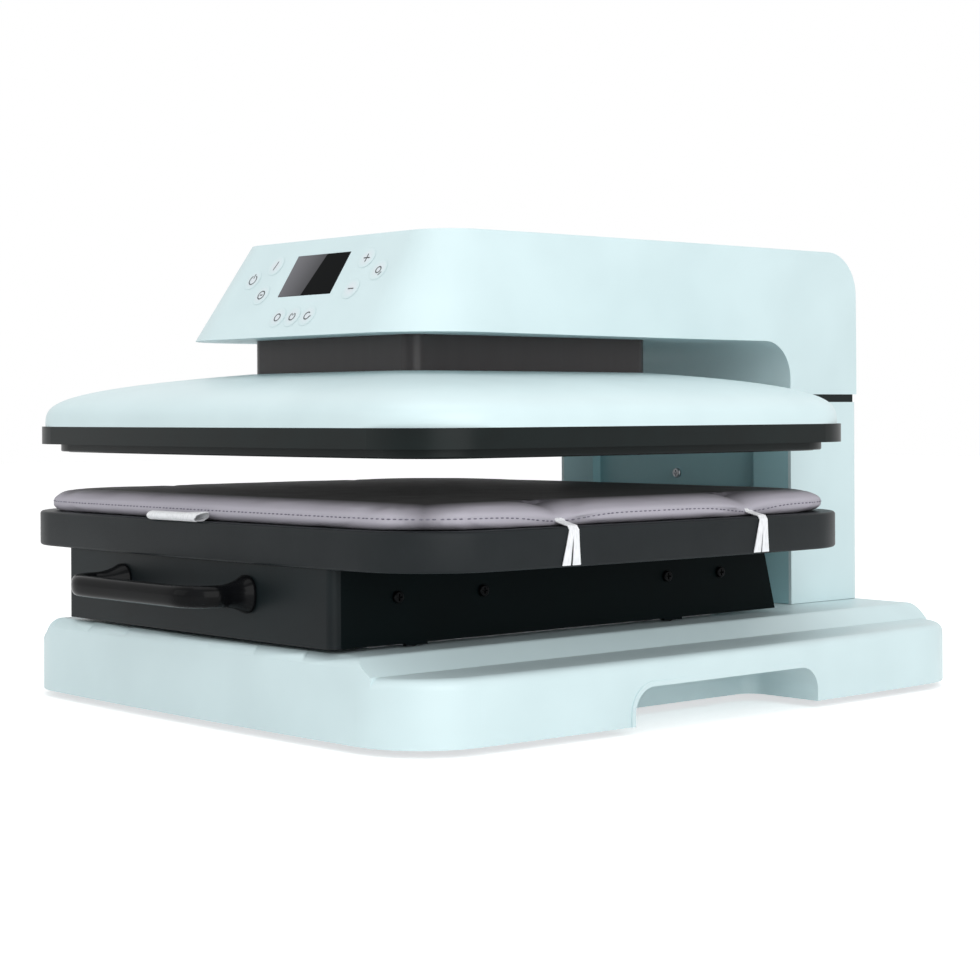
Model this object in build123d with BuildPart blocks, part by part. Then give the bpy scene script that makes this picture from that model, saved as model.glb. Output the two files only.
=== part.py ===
"""Automatic heat press with a motor-driven lid and a pull-out lower table.

Millimetres. The origin is on the surface that the press stands on, under the
middle of its overall box. +X is the user's right, +Y goes to the back, +Z is up.
"""
from build123d import *
import math
import os

os.makedirs("parts", exist_ok=True)

# Base housing
foot_stand = 4.0            # gap that the feet leave under the base shell
base_width = 425.5
base_depth = 495.5
base_height = 48.0
base_wall = 3.0
base_corner_radius = 50.0
base_side_bow = 6.5
base_end_bow = 5.0
base_top_round = 6.0
ledge_drop = 10.0           # the side ledges lie this far under the plateau
ledge_run = 12.0            # plan width of the slope from plateau to ledge
plateau_width = 318.0
plateau_edge_round = 5.0    # soft top edge above each slope
notch_length = 161.0        # hand-hold in each side
notch_depth = 56.0
notch_height = 22.0
notch_top_round = 15.0
notch_inner_round = 12.0
notch_setback = 165.0       # front end of the hand-hold, behind the base's front
notch_overrun = 10.0        # how far the cut runs out past the side
pan_thickness = 1.5
pan_gap = 0.5
pan_rise = 1.5              # pan above the shell's lower edge
boss_inset_x = 28.0         # screw bosses, in from the sides and the ends
boss_inset_y = 55.0
boss_diameter = 10.0
boss_hole = 3.2
boss_hole_depth = 14.0
foot_diameter = 24.0
foot_round = 1.0
foot_inset_x = 62.0
foot_inset_y = 50.0
chassis_thickness = 3.0
chassis_gap = 5.0           # chassis plate to the walls of its recess
chassis_corner = 12.0
recess_margin = 16.0        # end walls of the chassis recess, in from the base's ends

# Pull-out table and its drawer
handle_reach = 42.5
drawer_setback = 1.0        # drawer front behind the base's front edge
drawer_width = 279.0
drawer_wall = 2.5
drawer_lift = 2.5           # gap under the drawer's side walls
drawer_height = 44.2
drawer_front_thickness = 8.0
drawer_front_bow = 1.5
drawer_corner_round = 5.0
drawer_tail_slope = 12.0    # how much further back the walls reach at their foot
drawer_length = 369.0
drawer_travel = 220.0
table_width = 437.0
table_depth = 383.0
table_height = 22.3
table_wall = 4.0
table_corner_radius = 50.0
table_side_bow = 6.5
table_end_bow = 6.5
table_foot_round = 2.5
table_rim_round = 1.5
rib_thickness = 3.0
rib_places = (25.0, 75.0, 125.0)    # from the middle of the table
pad_inset = 6.5             # table rim left bare around the pad
pad_edge_height = 10.5
pad_crown = 2.2
pad_side_draw = 1.2         # how far the pad's sides pull in
pad_foot_round = 1.5
pad_crown_steps = ((12.0, 0.7), (60.0, 1.0))    # inset from the rim, share of the crown
pad_corner_sharpening = 0.4     # corner radius lost per millimetre of inset
press_setback = 189.4       # middle of the table behind the base's front

# Lid with the hot plate
press_gap = 25.5            # open height between pad and plate
press_travel = 24.5
lid_width = 436.0
lid_depth = 382.0
lid_shift = 3.3             # lid sits this far behind the table's middle
lid_wall = 2.5
lid_corner_radius = 50.0
lid_side_bow = 6.5
lid_end_bow = 6.5
lid_cover_height = 33.5
crown_margin = 10.0         # flat of the crowned top around the sleeve
crown_bow_left = 0.2        # bow and corner radius left at the flat top, as shares
crown_corner_left = 0.5
crown_rings = 9             # steps of height from the rim to the flat top
crown_power = 3.57          # the higher, the longer the crown stays steep at its rim
lid_frame_height = 11.5
tier_height = 5.0
tier_width = 412.4
tier_depth = 358.4
lid_edge_round = 1.0        # lower edges of the frame and the plate
plate_width = 404.0
plate_proud = 0.5
plate_thickness = 12.0
plate_gap = 1.5
sleeve_width = 166.0
sleeve_depth = 204.0
sleeve_wall = 2.5
sleeve_corner_radius = 10.0
sleeve_setback = 106.8      # front of the sleeve behind the base's front
sleeve_height = 66.0

# Head and column
head_bottom = 232.0
head_height = 63.0
head_setback = 71.5         # lower front edge of the head behind the base's front
head_lean = 40.0            # run of the slanted panel
head_low_width = 273.0
head_top_width = 214.0
head_wall = 2.5
head_low_corner = 50.0
head_top_corner = 30.0
head_taper = 0.5            # column top narrower than its foot, on each side
head_rear_round = 29.0
column_width = 228.0
column_depth = 71.0
column_setback = 7.7        # rear of the column ahead of the base's rear
column_edge_round = 4.0
arch_radius = 25.0
seam_bottom = 190.6
seam_height = 5.4
seam_inset = 2.0
cover_wall = 2.5
recess_width = 160.0
recess_depth = 8.0
column_screw_height = 88.0  # screw in the front cover, above the base's top
vent_count = 9
vent_length = 60.0
vent_width = 3.0
vent_pitch = 8.0
vent_column_pitch = 78.0
vent_height = 99.0          # middle of the vents above the base's top

# Rails of the drawer
rail_pack = 12.7            # room that the three nested rails take
rail_height = 27.0
rail_sheet = 1.2
rail_lip = 8.0
rail_overlap = 65.0         # what the rails keep of their length at full travel
rail_setback = 39.3         # rail ends behind the base's front
rail_centre_height = 77.0   # above the base shell's foot
rail_bracket_foot = 24.0
roller_diameter = 12.0
roller_width = 6.0
roller_pin_diameter = 4.0
roller_pin_skin = 1.0       # drawer wall left outside the roller pins
roller_lift = 0.2
cheek_length = 16.0
cheek_gap = 1.2             # drawer's cheeks beside the rollers, above the base's top
front_roller_setback = 62.0    # behind the drawer's front
rear_roller_setback = 272.0
rail_screw_places = (48.0, 112.0, 266.0, 315.0)    # behind the drawer's front
rail_screw_diameter = 4.0
rail_screw_head = 7.0
rail_screw_head_height = 2.0
screw_recess_length = 0.6   # cross recess, as shares of the head
screw_recess_width = 0.14
screw_recess_depth = 0.6
screw_head_round = 0.4
handle_span = 153.0
handle_height = 26.4        # above the drawer's lower edge
handle_bar_height = 13.0
handle_bar_depth = 11.0
handle_bar_round = 5.0
handle_foot_height = 23.0
handle_foot_width = 21.0
handle_foot_round = 9.0
handle_foot_length = 12.0
handle_bend = 15.0
handle_shift = -5.0         # middle of the pull from the drawer's middle
handle_leg_lean = 4.0       # the legs stand this much closer together at the drawer
handle_screw_diameter = 4.0
handle_screw_length = 18.0
tie_width = 7.0
tie_thickness = 0.8
tie_pair_gap = 3.0
tie_tuck = 30.0             # length hidden under the table
tie_places = (-79.0, 79.0)      # from the middle of the table
tag_width = 52.0
tag_length = 12.0
tag_thickness = 1.4

# Lift drive and hot plate
guide_span_x = 120.0
guide_span_y = 110.0
guide_diameter = 12.0
guide_spare = 5.0           # left of the guide rods in their bushings, pressed down
bushing_wall = 3.0
bushing_height = 20.0
beam_gap = 4.0              # sleeve top to beam at rest
beam_thickness = 4.0
beam_width = 150.0
beam_flange = 14.0
beam_sheet = 3.0
beam_front_overlap = 24.0
frame_depth = 32.0
frame_sheet = 3.0
frame_setback = 12.0         # column frame behind the column's front
carriage_width = 200.0
carriage_depth = 232.0
carriage_thickness = 6.0
carriage_shift = 8.0        # middle of the carriage behind the lid's middle
carriage_corner = 12.0
backing_margin = 9.0        # inside the lid cover's wall
backing_thickness = 2.0
felt_thickness = 6.0
felt_inset = 4.0            # inside the plate's edge
element_diameter = 6.5
element_rows = 6
element_pitch = 50.0
element_reach = 300.0
element_bend = 22.5
post_diameter = 12.0
post_height = 6.0
post_span_x = 170.0
post_span_y = 200.0
push_tube_diameter = 30.0
push_tube_bore = 18.0
nut_diameter = 34.0
nut_height = 16.0
nut_clear = 4.0             # nut to bearing at rest
screw_diameter = 14.0
screw_journal = 12.0
bearing_diameter = 28.0
bearing_height = 8.0
edge_chamfer = 1.0
gear_module = 1.5
gear_pressure_angle = 20.0
gear_root_depth = 1.25      # in modules
gear_teeth = 60
pinion_teeth = 20
gear_thickness = 8.0
gear_lift = 2.0             # gear above the beam
backlash = 0.12
motor_diameter = 50.0
motor_height = 28.0
motor_round = 2.0
motor_shaft = 6.0

# Control panel and power entry
screen_width = 54.0
screen_height = 31.0
screen_centre = 46.5        # up the slanted panel from its lower edge
key_diameter = 11.0
key_depth = 1.2
key_proud = 0.15
key_places = (
    (47.0, 56.0), (65.0, 46.0), (46.5, 33.3),
    (-47.0, 56.0), (-65.0, 46.0), (-46.5, 33.3),
    (-15.5, 14.8), (0.0, 14.8), (15.5, 14.8),
)
glass_thickness = 1.5
board_thickness = 1.6
board_gap = 7.0
board_width = 150.0
board_height = 50.0
power_board_width = 110.0
power_board_height = 90.0
block_width = 22.0          # parts on the power board, in a grid
block_height = 26.0
block_depth = 8.0
block_pitch_x = 35.0
block_pitch_z = 40.0
inlet_width = 27.0
inlet_height = 20.0
inlet_depth = 20.0
inlet_wall = 2.0
inlet_flange_x = 48.0
inlet_flange_z = 26.0
inlet_corner = 3.0
entry_height = 40.0         # inlet and switch above the base's top
inlet_x = 34.0
switch_width = 13.0
switch_height = 20.0
switch_flange = 2.0
switch_x = -34.0
rocker_tilt = 9.0
rocker_sink = 4.0           # rocker's axis ahead of the rear cover's face
rocker_rise = 3.2
rocker_tip = 1.6
rocker_play = 0.9           # between the rocker's ends and its housing
trunnion_diameter = 3.2
trunnion_reach = 1.0        # rocker's pins in the walls of its housing
blade_pitch = 7.0
blade_width = 2.0
blade_height = 4.0
thermostat_diameter = 18.0
underside_margin = 5.0
sleeve_clearance = 1.2

# Shared clearances
fit_gap = 0.3               # between fixed neighbours
slide_gap = 0.5             # between parts that slide past each other
bearing_gap = 0.05          # radial, in bushings and bearings

# Places that follow from the sizes above
overall_depth = base_depth + handle_reach - drawer_setback
base_rear = overall_depth / 2
base_front = base_rear - base_depth
base_top = foot_stand + base_height
ledge_top = base_top - ledge_drop
head_top = head_bottom + head_height
head_front = base_front + head_setback
column_rear = base_rear - column_setback
column_front = column_rear - column_depth
column_half = column_width / 2
column_middle = (column_front + column_rear) / 2
press_y = base_front + press_setback
frame_front = column_front + frame_setback
frame_rear = frame_front + frame_depth
frame_middle = (frame_front + frame_rear) / 2


def bowed_face(width, front, rear, side_bow, end_bow, radius):
    """Rounded rectangle whose four sides swell outwards in shallow arcs."""
    half = width / 2
    middle = (front + rear) / 2
    front_right = (half - side_bow, front + end_bow)
    rear_right = (half - side_bow, rear - end_bow)
    rear_left = (side_bow - half, rear - end_bow)
    front_left = (side_bow - half, front + end_bow)
    with BuildSketch(Plane.XY, mode=Mode.PRIVATE) as outline:
        with BuildLine():
            ThreePointArc(front_left, (0, front), front_right)
            ThreePointArc(front_right, (half, middle), rear_right)
            ThreePointArc(rear_right, (0, rear), rear_left)
            ThreePointArc(rear_left, (-half, middle), front_left)
        make_face()
        fillet(outline.vertices(), radius)
    return outline.sketch


def near(shape, x=None, y=None, z=None, reach=0.05):
    """True where the middle of an edge or face has the given coordinates."""
    middle = shape.center(CenterOf.BOUNDING_BOX)
    wanted = ((x, middle.X), (y, middle.Y), (z, middle.Z))
    return all(goal is None or abs(goal - found) < reach for goal, found in wanted)


# Base shell: a bowed tray upside down, with stepped sides and two hand-holds
notch_front = base_front + notch_setback
notch_middle = notch_front + notch_length / 2
notch_inner = base_width / 2 - notch_depth
boss_span_x = base_width - 2 * boss_inset_x
boss_span_y = base_depth - 2 * boss_inset_y
plateau_half = plateau_width / 2
base_middle = (base_front + base_rear) / 2


def base_face(inset):
    """Outline of the base, drawn in by one wall thickness where asked."""
    return bowed_face(base_width - 2 * inset, base_front + inset, base_rear - inset,
                      base_side_bow, base_end_bow, base_corner_radius - inset)


def notch_block(wall):
    """Hand-hold pocket; with a wall it is the lining that closes the pocket."""
    with BuildPart(mode=Mode.PRIVATE) as pocket:
        outside = base_width / 2 + (0 if wall else notch_overrun)
        reach = outside - notch_inner + wall
        with BuildSketch(Plane.YZ.offset(notch_inner - wall)):
            with Locations((notch_middle, foot_stand + (notch_height + wall) / 2)):
                Rectangle(notch_length + 2 * wall, notch_height + wall)
        extrude(amount=reach)
        top_ends = pocket.edges().filter_by(Axis.X).group_by(Axis.Z)[-1]
        fillet(top_ends, notch_top_round + wall)
        inner_ends = pocket.edges().filter_by(Axis.Z).group_by(Axis.X)[0]
        fillet(inner_ends, notch_inner_round + wall)
    return pocket.part


def handed(piece, side):
    """A right-hand piece as it is, or mirrored for the left side."""
    return piece if side > 0 else piece.mirror(Plane.YZ)


def finish_piece(piece, name):
    """Label a finished piece and write its file."""
    piece.part.label = name
    export_step(piece.part, f"parts/{name}.step")


with BuildPart(mode=Mode.PRIVATE) as plateau_room:
    slope_foot = plateau_half + ledge_run
    with BuildSketch(Plane.XZ.offset(-base_rear)):
        with BuildLine():
            Polyline(
                (-slope_foot, foot_stand),
                (slope_foot, foot_stand),
                (slope_foot, ledge_top),
                (plateau_half, base_top),
                (-plateau_half, base_top),
                (-slope_foot, ledge_top),
                close=True,
            )
        make_face()
    extrude(amount=base_depth)
    long_edges = plateau_room.edges().filter_by(Axis.Y).group_by(Axis.Z)[-1]
    fillet(long_edges, plateau_edge_round)

with BuildPart(mode=Mode.PRIVATE) as plateau:
    with BuildSketch(Plane.XY.offset(foot_stand)):
        add(base_face(0))
    extrude(amount=base_height)
    fillet(plateau.faces().sort_by(Axis.Z)[-1].edges(), base_top_round)
    add(plateau_room.part, mode=Mode.INTERSECT)

with BuildPart() as base_shell:
    with BuildSketch(Plane.XY.offset(foot_stand)):
        add(base_face(0))
    extrude(amount=base_height - ledge_drop)
    fillet(base_shell.faces().sort_by(Axis.Z)[-1].edges(), base_top_round)
    add(plateau.part)
    with BuildSketch(Plane.XY.offset(foot_stand)):
        add(base_face(base_wall))
    extrude(amount=base_height - ledge_drop - base_wall, mode=Mode.SUBTRACT)
    with BuildSketch(Plane.XY.offset(ledge_top - base_wall)):
        with Locations((0, base_middle)):
            Rectangle(plateau_width - 2 * base_wall, base_depth - 2 * recess_margin)
    extrude(amount=ledge_drop, mode=Mode.SUBTRACT)
    with BuildSketch(Plane.XY.offset(base_top - base_wall)):
        with Locations((0, frame_middle)):
            Rectangle(beam_width + 2 * fit_gap, frame_depth + 2 * fit_gap)
    extrude(amount=base_wall, mode=Mode.SUBTRACT)
    for side in (1, -1):
        add(handed(notch_block(base_wall), side))
    with BuildSketch(Plane.XY.offset(ledge_top - base_wall)):
        with Locations((0, base_middle)):
            with GridLocations(boss_span_x, boss_span_y, 2, 2):
                Circle(boss_diameter / 2)
    extrude(amount=foot_stand + pan_thickness + pan_rise - (ledge_top - base_wall))
    with BuildSketch(Plane.XY.offset(foot_stand)):
        with Locations((0, base_middle)):
            with GridLocations(boss_span_x, boss_span_y, 2, 2):
                Circle(boss_hole / 2)
    extrude(amount=boss_hole_depth + pan_rise, mode=Mode.SUBTRACT)
    for side in (1, -1):
        add(handed(notch_block(0), side), mode=Mode.SUBTRACT)
finish_piece(base_shell, "base_shell")


def screw_solid(head_diameter, head_height, shank_diameter, length):
    """Pan-head screw along Z, its shank below zero and its cross recess on top."""
    with BuildPart(mode=Mode.PRIVATE) as fastener:
        with BuildSketch(Plane.XY):
            Circle(head_diameter / 2)
        extrude(amount=head_height)
        fillet(fastener.edges().group_by(Axis.Z)[-1], head_height * screw_head_round)
        with BuildSketch(Plane.XY.offset(head_height)):
            for turn in (0, 90):
                Rectangle(head_diameter * screw_recess_length, head_diameter * screw_recess_width,
                          rotation=turn)
        extrude(amount=-head_height * screw_recess_depth, mode=Mode.SUBTRACT)
        with BuildSketch(Plane.XY):
            Circle(shank_diameter / 2)
        extrude(amount=-length)
    return fastener.part


# Bottom pan, feet and the screws that hold the pan
pan_floor = foot_stand + pan_rise
with BuildPart() as base_pan:
    with BuildSketch(Plane.XY.offset(pan_floor)):
        add(base_face(base_wall + pan_gap))
        with Locations((0, base_middle)):
            with GridLocations(boss_span_x, boss_span_y, 2, 2):
                Circle(boss_hole / 2 + fit_gap, mode=Mode.SUBTRACT)
    extrude(amount=pan_thickness)
    for side in (1, -1):
        add(handed(notch_block(base_wall + pan_gap), side), mode=Mode.SUBTRACT)
finish_piece(base_pan, "base_pan")

with BuildPart() as rubber_feet:
    with BuildSketch(Plane.XY):
        with Locations((0, base_middle)):
            with GridLocations(base_width - 2 * foot_inset_x,
                               base_depth - 2 * foot_inset_y, 2, 2):
                Circle(foot_diameter / 2)
    extrude(amount=pan_floor)
    fillet(rubber_feet.edges().group_by(Axis.Z)[0], foot_round)
finish_piece(rubber_feet, "rubber_feet")

# Steel chassis under the base's top, which carries the column and the rails
chassis_top = base_top - base_wall
chassis_inset = recess_margin + chassis_gap
with BuildPart() as chassis_plate:
    with BuildSketch(Plane.XY.offset(chassis_top - chassis_thickness)):
        with Locations((0, base_middle)):
            RectangleRounded(plateau_width - 2 * base_wall - 2 * chassis_gap,
                             base_depth - 2 * chassis_inset, chassis_corner)
    extrude(amount=chassis_thickness)
finish_piece(chassis_plate, "chassis_plate")

# Column frame and the arm that reaches over the lid
lid_middle = press_y + lid_shift
drawer_front_y = base_front + drawer_setback
drawer_foot = base_top + drawer_lift
drawer_top = drawer_foot + drawer_height
table_top = drawer_top + table_height
pad_foot = table_top + fit_gap
pad_top = pad_foot + pad_edge_height + pad_crown
plate_bottom = pad_top + press_gap
tier_bottom = plate_bottom + plate_proud
lid_frame_bottom = tier_bottom + tier_height
lid_frame_top = lid_frame_bottom + lid_frame_height
lid_top = lid_frame_top + lid_cover_height
plate_top = plate_bottom + plate_thickness
felt_bottom = plate_top + element_diameter + fit_gap
backing_bottom = felt_bottom + felt_thickness
carriage_bottom = backing_bottom + backing_thickness + post_height
carriage_top = carriage_bottom + carriage_thickness
sleeve_top = carriage_top + sleeve_height
beam_bottom = sleeve_top + beam_gap
beam_top = beam_bottom + beam_thickness
beam_front = lid_middle - guide_span_y / 2 - beam_front_overlap
screw_y = lid_middle
motor_y = screw_y + gear_module * (gear_teeth + pinion_teeth) / 2

with BuildPart() as column_frame:
    with BuildSketch(Plane.XY.offset(chassis_top)):
        with Locations((0, frame_middle)):
            Rectangle(beam_width, frame_depth)
            Rectangle(beam_width - 2 * frame_sheet, frame_depth - 2 * frame_sheet,
                      mode=Mode.SUBTRACT)
    extrude(amount=beam_bottom - chassis_top)
finish_piece(column_frame, "column_frame")

with BuildPart() as arm_beam:
    with BuildSketch(Plane.XY.offset(beam_bottom)):
        with Locations((0, (beam_front + frame_rear) / 2)):
            Rectangle(beam_width, frame_rear - beam_front)
    extrude(amount=beam_thickness)
    with BuildSketch(Plane.XY.offset(beam_top)):
        for side in (1, -1):
            with Locations((side * (beam_width - beam_sheet) / 2, (beam_front + frame_rear) / 2)):
                Rectangle(beam_sheet, frame_rear - beam_front)
    extrude(amount=beam_flange)
    with BuildSketch(Plane.XY.offset(beam_bottom)):
        with Locations((0, screw_y)):
            Circle(screw_journal / 2 + slide_gap)
            with GridLocations(guide_span_x, guide_span_y, 2, 2):
                Circle(guide_diameter / 2 + slide_gap)
        with Locations((0, motor_y)):
            Circle(motor_shaft / 2 + slide_gap)
    extrude(amount=beam_thickness, mode=Mode.SUBTRACT)
finish_piece(arm_beam, "arm_beam")


# Rail brackets and the three nested rails on each side
drawer_half = drawer_width / 2
drawer_inside = drawer_half - drawer_wall
bracket_face = drawer_inside - rail_pack
rail_z = foot_stand + rail_centre_height
rail_length = drawer_travel + rail_overlap
rail_front = base_front + rail_setback
rail_rear = rail_front + rail_length
bracket_top = drawer_top - drawer_wall - slide_gap


def rail_solid(web_face, reach, height):
    """C-section along Y whose lips reach out sideways from its web."""
    sign = math.copysign(1, reach)
    open_face = web_face + reach
    web_inner = web_face + sign * rail_sheet
    with BuildPart(mode=Mode.PRIVATE) as section:
        with BuildSketch(Plane.XZ.offset(-rail_rear)):
            with Locations(((web_face + open_face) / 2, rail_z)):
                Rectangle(abs(reach), height)
            with Locations(((web_inner + open_face) / 2, rail_z)):
                Rectangle(abs(reach) - rail_sheet, height - 2 * rail_sheet, mode=Mode.SUBTRACT)
        extrude(amount=rail_length)
    return section.part


middle_height = rail_height - 2 * rail_sheet - 2 * slide_gap
inner_height = middle_height - 2 * rail_sheet - 2 * slide_gap
middle_face = bracket_face + rail_sheet + slide_gap

with BuildPart(mode=Mode.PRIVATE) as bracket_right:
    with BuildSketch(Plane.XZ.offset(-rail_rear)):
        with Locations((bracket_face, base_top)):
            Rectangle(rail_bracket_foot, drawer_wall, align=(Align.MAX, Align.MIN))
            Rectangle(drawer_wall, bracket_top - base_top, align=(Align.MAX, Align.MIN))
    extrude(amount=rail_length)

with BuildPart() as rail_brackets:
    for side in (1, -1):
        add(handed(bracket_right.part, side))
finish_piece(rail_brackets, "rail_brackets")

rail_hole_places = [(drawer_front_y + place, rail_z) for place in rail_screw_places]
for side, word in ((1, "right"), (-1, "left")):
    with BuildPart() as outer_rail:
        add(handed(rail_solid(bracket_face, rail_lip + rail_sheet, rail_height), side))
    finish_piece(outer_rail, f"outer_rail_{word}")

    with BuildPart() as middle_rail:
        add(handed(rail_solid(middle_face, rail_lip, middle_height), side))
    finish_piece(middle_rail, f"middle_rail_{word}")

    with BuildPart() as inner_rail:
        add(rail_solid(drawer_inside, -rail_lip, inner_height))
        with BuildSketch(Plane.YZ.offset(drawer_inside - rail_sheet)):
            with Locations(*rail_hole_places):
                Circle(rail_screw_diameter / 2)
        extrude(amount=rail_sheet, mode=Mode.SUBTRACT)
        if side < 0:
            mirror(inner_rail.part, about=Plane.YZ, mode=Mode.REPLACE)
    finish_piece(inner_rail, f"inner_rail_{word}")


# Drawer body: two deep side walls and a top, open below and behind
roller_places = (drawer_front_y + front_roller_setback, drawer_front_y + rear_roller_setback)
roller_z = base_top + roller_lift + roller_diameter / 2
drawer_tail = drawer_front_y + drawer_length
drawer_head = drawer_front_y + drawer_front_thickness
pin_end = drawer_half - roller_pin_skin
with BuildPart() as drawer_shell:
    with BuildSketch(Plane.YZ.offset(-drawer_half)):
        with BuildLine():
            Polyline(
                (drawer_head, drawer_foot),
                (drawer_tail, drawer_foot),
                (drawer_tail - drawer_tail_slope, drawer_top),
                (drawer_head, drawer_top),
                close=True,
            )
        make_face()
    extrude(amount=drawer_width)
    with BuildSketch(Plane.YZ.offset(-drawer_half)):
        with Locations(*[(place, drawer_foot) for place in roller_places]):
            Rectangle(cheek_length, 2 * (drawer_lift - cheek_gap))
    extrude(amount=drawer_width)
    with BuildSketch(Plane.XY.offset(base_top)):
        with Locations((0, (drawer_head + drawer_tail) / 2)):
            Rectangle(2 * drawer_inside, drawer_tail - drawer_head + 2 * drawer_wall)
    extrude(amount=drawer_top - drawer_wall - base_top, mode=Mode.SUBTRACT)
    with BuildSketch(Plane.YZ.offset(-drawer_half)):
        with Locations(*rail_hole_places):
            Circle(rail_screw_diameter / 2)
    extrude(amount=drawer_width, mode=Mode.SUBTRACT)
    with BuildSketch(Plane.YZ.offset(pin_end)):
        with Locations(*[(place, roller_z) for place in roller_places]):
            Circle(roller_pin_diameter / 2)
    extrude(amount=-2 * pin_end, mode=Mode.SUBTRACT)
finish_piece(drawer_shell, "drawer_shell")

with BuildPart() as rail_screws:
    for side in (1, -1):
        for place, height in rail_hole_places:
            seat = Plane(origin=(side * drawer_half, place, height), z_dir=(side, 0, 0))
            with Locations(seat):
                add(screw_solid(rail_screw_head, rail_screw_head_height,
                                rail_screw_diameter - 2 * bearing_gap, drawer_wall + rail_sheet))
finish_piece(rail_screws, "rail_screws")

with BuildPart() as roller_pins:
    for side in (1, -1):
        for place in roller_places:
            with BuildSketch(Plane.YZ.offset(side * pin_end)):
                with Locations((place, roller_z)):
                    Circle(roller_pin_diameter / 2)
            extrude(amount=-side * (pin_end - drawer_inside + roller_width + 2 * slide_gap))
finish_piece(roller_pins, "roller_pins")

for side, word in ((1, "right"), (-1, "left")):
    for place, end in zip(roller_places, ("front", "rear")):
        roller_face = drawer_inside - slide_gap
        with BuildPart() as roller:
            with BuildSketch(Plane.YZ.offset(side * roller_face)):
                with Locations((place, roller_z)):
                    Circle(roller_diameter / 2)
                    Circle(roller_pin_diameter / 2 + bearing_gap, mode=Mode.SUBTRACT)
            extrude(amount=-side * roller_width)
        finish_piece(roller, f"roller_{end}_{word}")

# Drawer front with its pull
handle_z = drawer_foot + handle_height
handle_bar_y = drawer_front_y - handle_reach + handle_bar_depth / 2
handle_leg_x = handle_span / 2 - handle_bar_depth / 2
foot_x = handle_leg_x - handle_leg_lean
with BuildPart() as drawer_front:
    with BuildSketch(Plane.XY.offset(drawer_foot)):
        with BuildLine():
            shoulder = drawer_front_y + drawer_front_bow
            ThreePointArc((-drawer_half, shoulder), (0, drawer_front_y), (drawer_half, shoulder))
            Polyline((drawer_half, shoulder), (drawer_half, drawer_head),
                     (-drawer_half, drawer_head), (-drawer_half, shoulder))
        make_face()
    extrude(amount=drawer_height)
    outer_corners = drawer_front.edges().filter_by(Axis.Z).group_by(Axis.Y)[0]
    fillet(outer_corners, drawer_corner_round)
    for side in (1, -1):
        seat = Plane(origin=(handle_shift + side * foot_x, drawer_head, handle_z),
                     z_dir=(0, 1, 0))
        with BuildSketch(seat):
            Circle(handle_screw_diameter / 2)
        extrude(amount=-drawer_front_thickness, mode=Mode.SUBTRACT)
finish_piece(drawer_front, "drawer_front")

with BuildPart() as drawer_handle:
    with BuildLine() as handle_path:
        FilletPolyline(
            (handle_shift - foot_x, drawer_front_y - handle_foot_length, handle_z),
            (handle_shift - handle_leg_x, handle_bar_y, handle_z),
            (handle_shift + handle_leg_x, handle_bar_y, handle_z),
            (handle_shift + foot_x, drawer_front_y - handle_foot_length, handle_z),
            radius=handle_bend,
        )
    path_start = handle_path.line @ 0
    with BuildSketch(Plane(origin=path_start, x_dir=(0, 0, 1), z_dir=handle_path.line % 0)):
        RectangleRounded(handle_bar_height, handle_bar_depth, handle_bar_round)
    sweep(path=handle_path.line)
    for side in (1, -1):
        place = handle_shift + side * foot_x
        foot_plane = Plane(origin=(place, drawer_head, handle_z), x_dir=(0, 0, 1),
                           z_dir=(0, -1, 0))
        bar_plane = Plane(origin=(place, drawer_front_y - handle_foot_length, handle_z),
                          x_dir=(0, 0, 1), z_dir=(0, -1, 0))
        with BuildSketch(foot_plane):
            RectangleRounded(handle_foot_height, handle_foot_width, handle_foot_round)
        with BuildSketch(bar_plane):
            RectangleRounded(handle_bar_height, handle_bar_depth, handle_bar_round)
        loft()
    add(drawer_front.part, mode=Mode.SUBTRACT)
    with BuildSketch(Plane.XZ.offset(-drawer_head)):
        with Locations((0, handle_z)):
            Rectangle(drawer_width, drawer_height)
    extrude(amount=drawer_front_thickness - drawer_front_bow, mode=Mode.SUBTRACT)
    for side in (1, -1):
        seat = Plane(origin=(handle_shift + side * foot_x, drawer_head, handle_z),
                     z_dir=(0, 1, 0))
        with BuildSketch(seat):
            Circle(handle_screw_diameter / 2)
        extrude(amount=-handle_screw_length, mode=Mode.SUBTRACT)
finish_piece(drawer_handle, "drawer_handle")

with BuildPart() as handle_screws:
    for side in (1, -1):
        seat = Plane(origin=(handle_shift + side * foot_x, drawer_head, handle_z),
                     z_dir=(0, 1, 0))
        with Locations(seat):
            add(screw_solid(rail_screw_head, rail_screw_head_height,
                            handle_screw_diameter - 2 * bearing_gap, handle_screw_length))
finish_piece(handle_screws, "handle_screws")

# Table tray, ribbed underneath
table_front = press_y - table_depth / 2
table_rear = press_y + table_depth / 2
rib_span = drawer_length - drawer_front_thickness - drawer_tail_slope - rib_thickness
rib_middle = drawer_head + (rib_span + rib_thickness) / 2
with BuildPart() as table_tray:
    with BuildSketch(Plane.XY.offset(drawer_top)):
        add(bowed_face(table_width, table_front, table_rear, table_side_bow, table_end_bow,
                       table_corner_radius))
    extrude(amount=table_height)
    fillet(table_tray.faces().sort_by(Axis.Z)[0].edges(), table_foot_round)
    fillet(table_tray.faces().sort_by(Axis.Z)[-1].edges(), table_rim_round)
    with BuildSketch(Plane.XY.offset(drawer_top)):
        add(bowed_face(table_width - 2 * table_wall, table_front + table_wall,
                       table_rear - table_wall, table_side_bow, table_end_bow,
                       table_corner_radius - table_wall))
    extrude(amount=table_height - table_wall, mode=Mode.SUBTRACT)
    with BuildSketch(Plane.XY.offset(drawer_top)):
        with Locations((0, rib_middle)):
            for side in (1, -1):
                for place in rib_places:
                    with Locations((side * place, 0)):
                        Rectangle(rib_thickness, rib_span)
            for side in (1, 0, -1):
                with Locations((0, side * rib_span / 2)):
                    Rectangle(drawer_width, rib_thickness)
    extrude(amount=table_height - table_wall)
finish_piece(table_tray, "table_tray")

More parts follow.
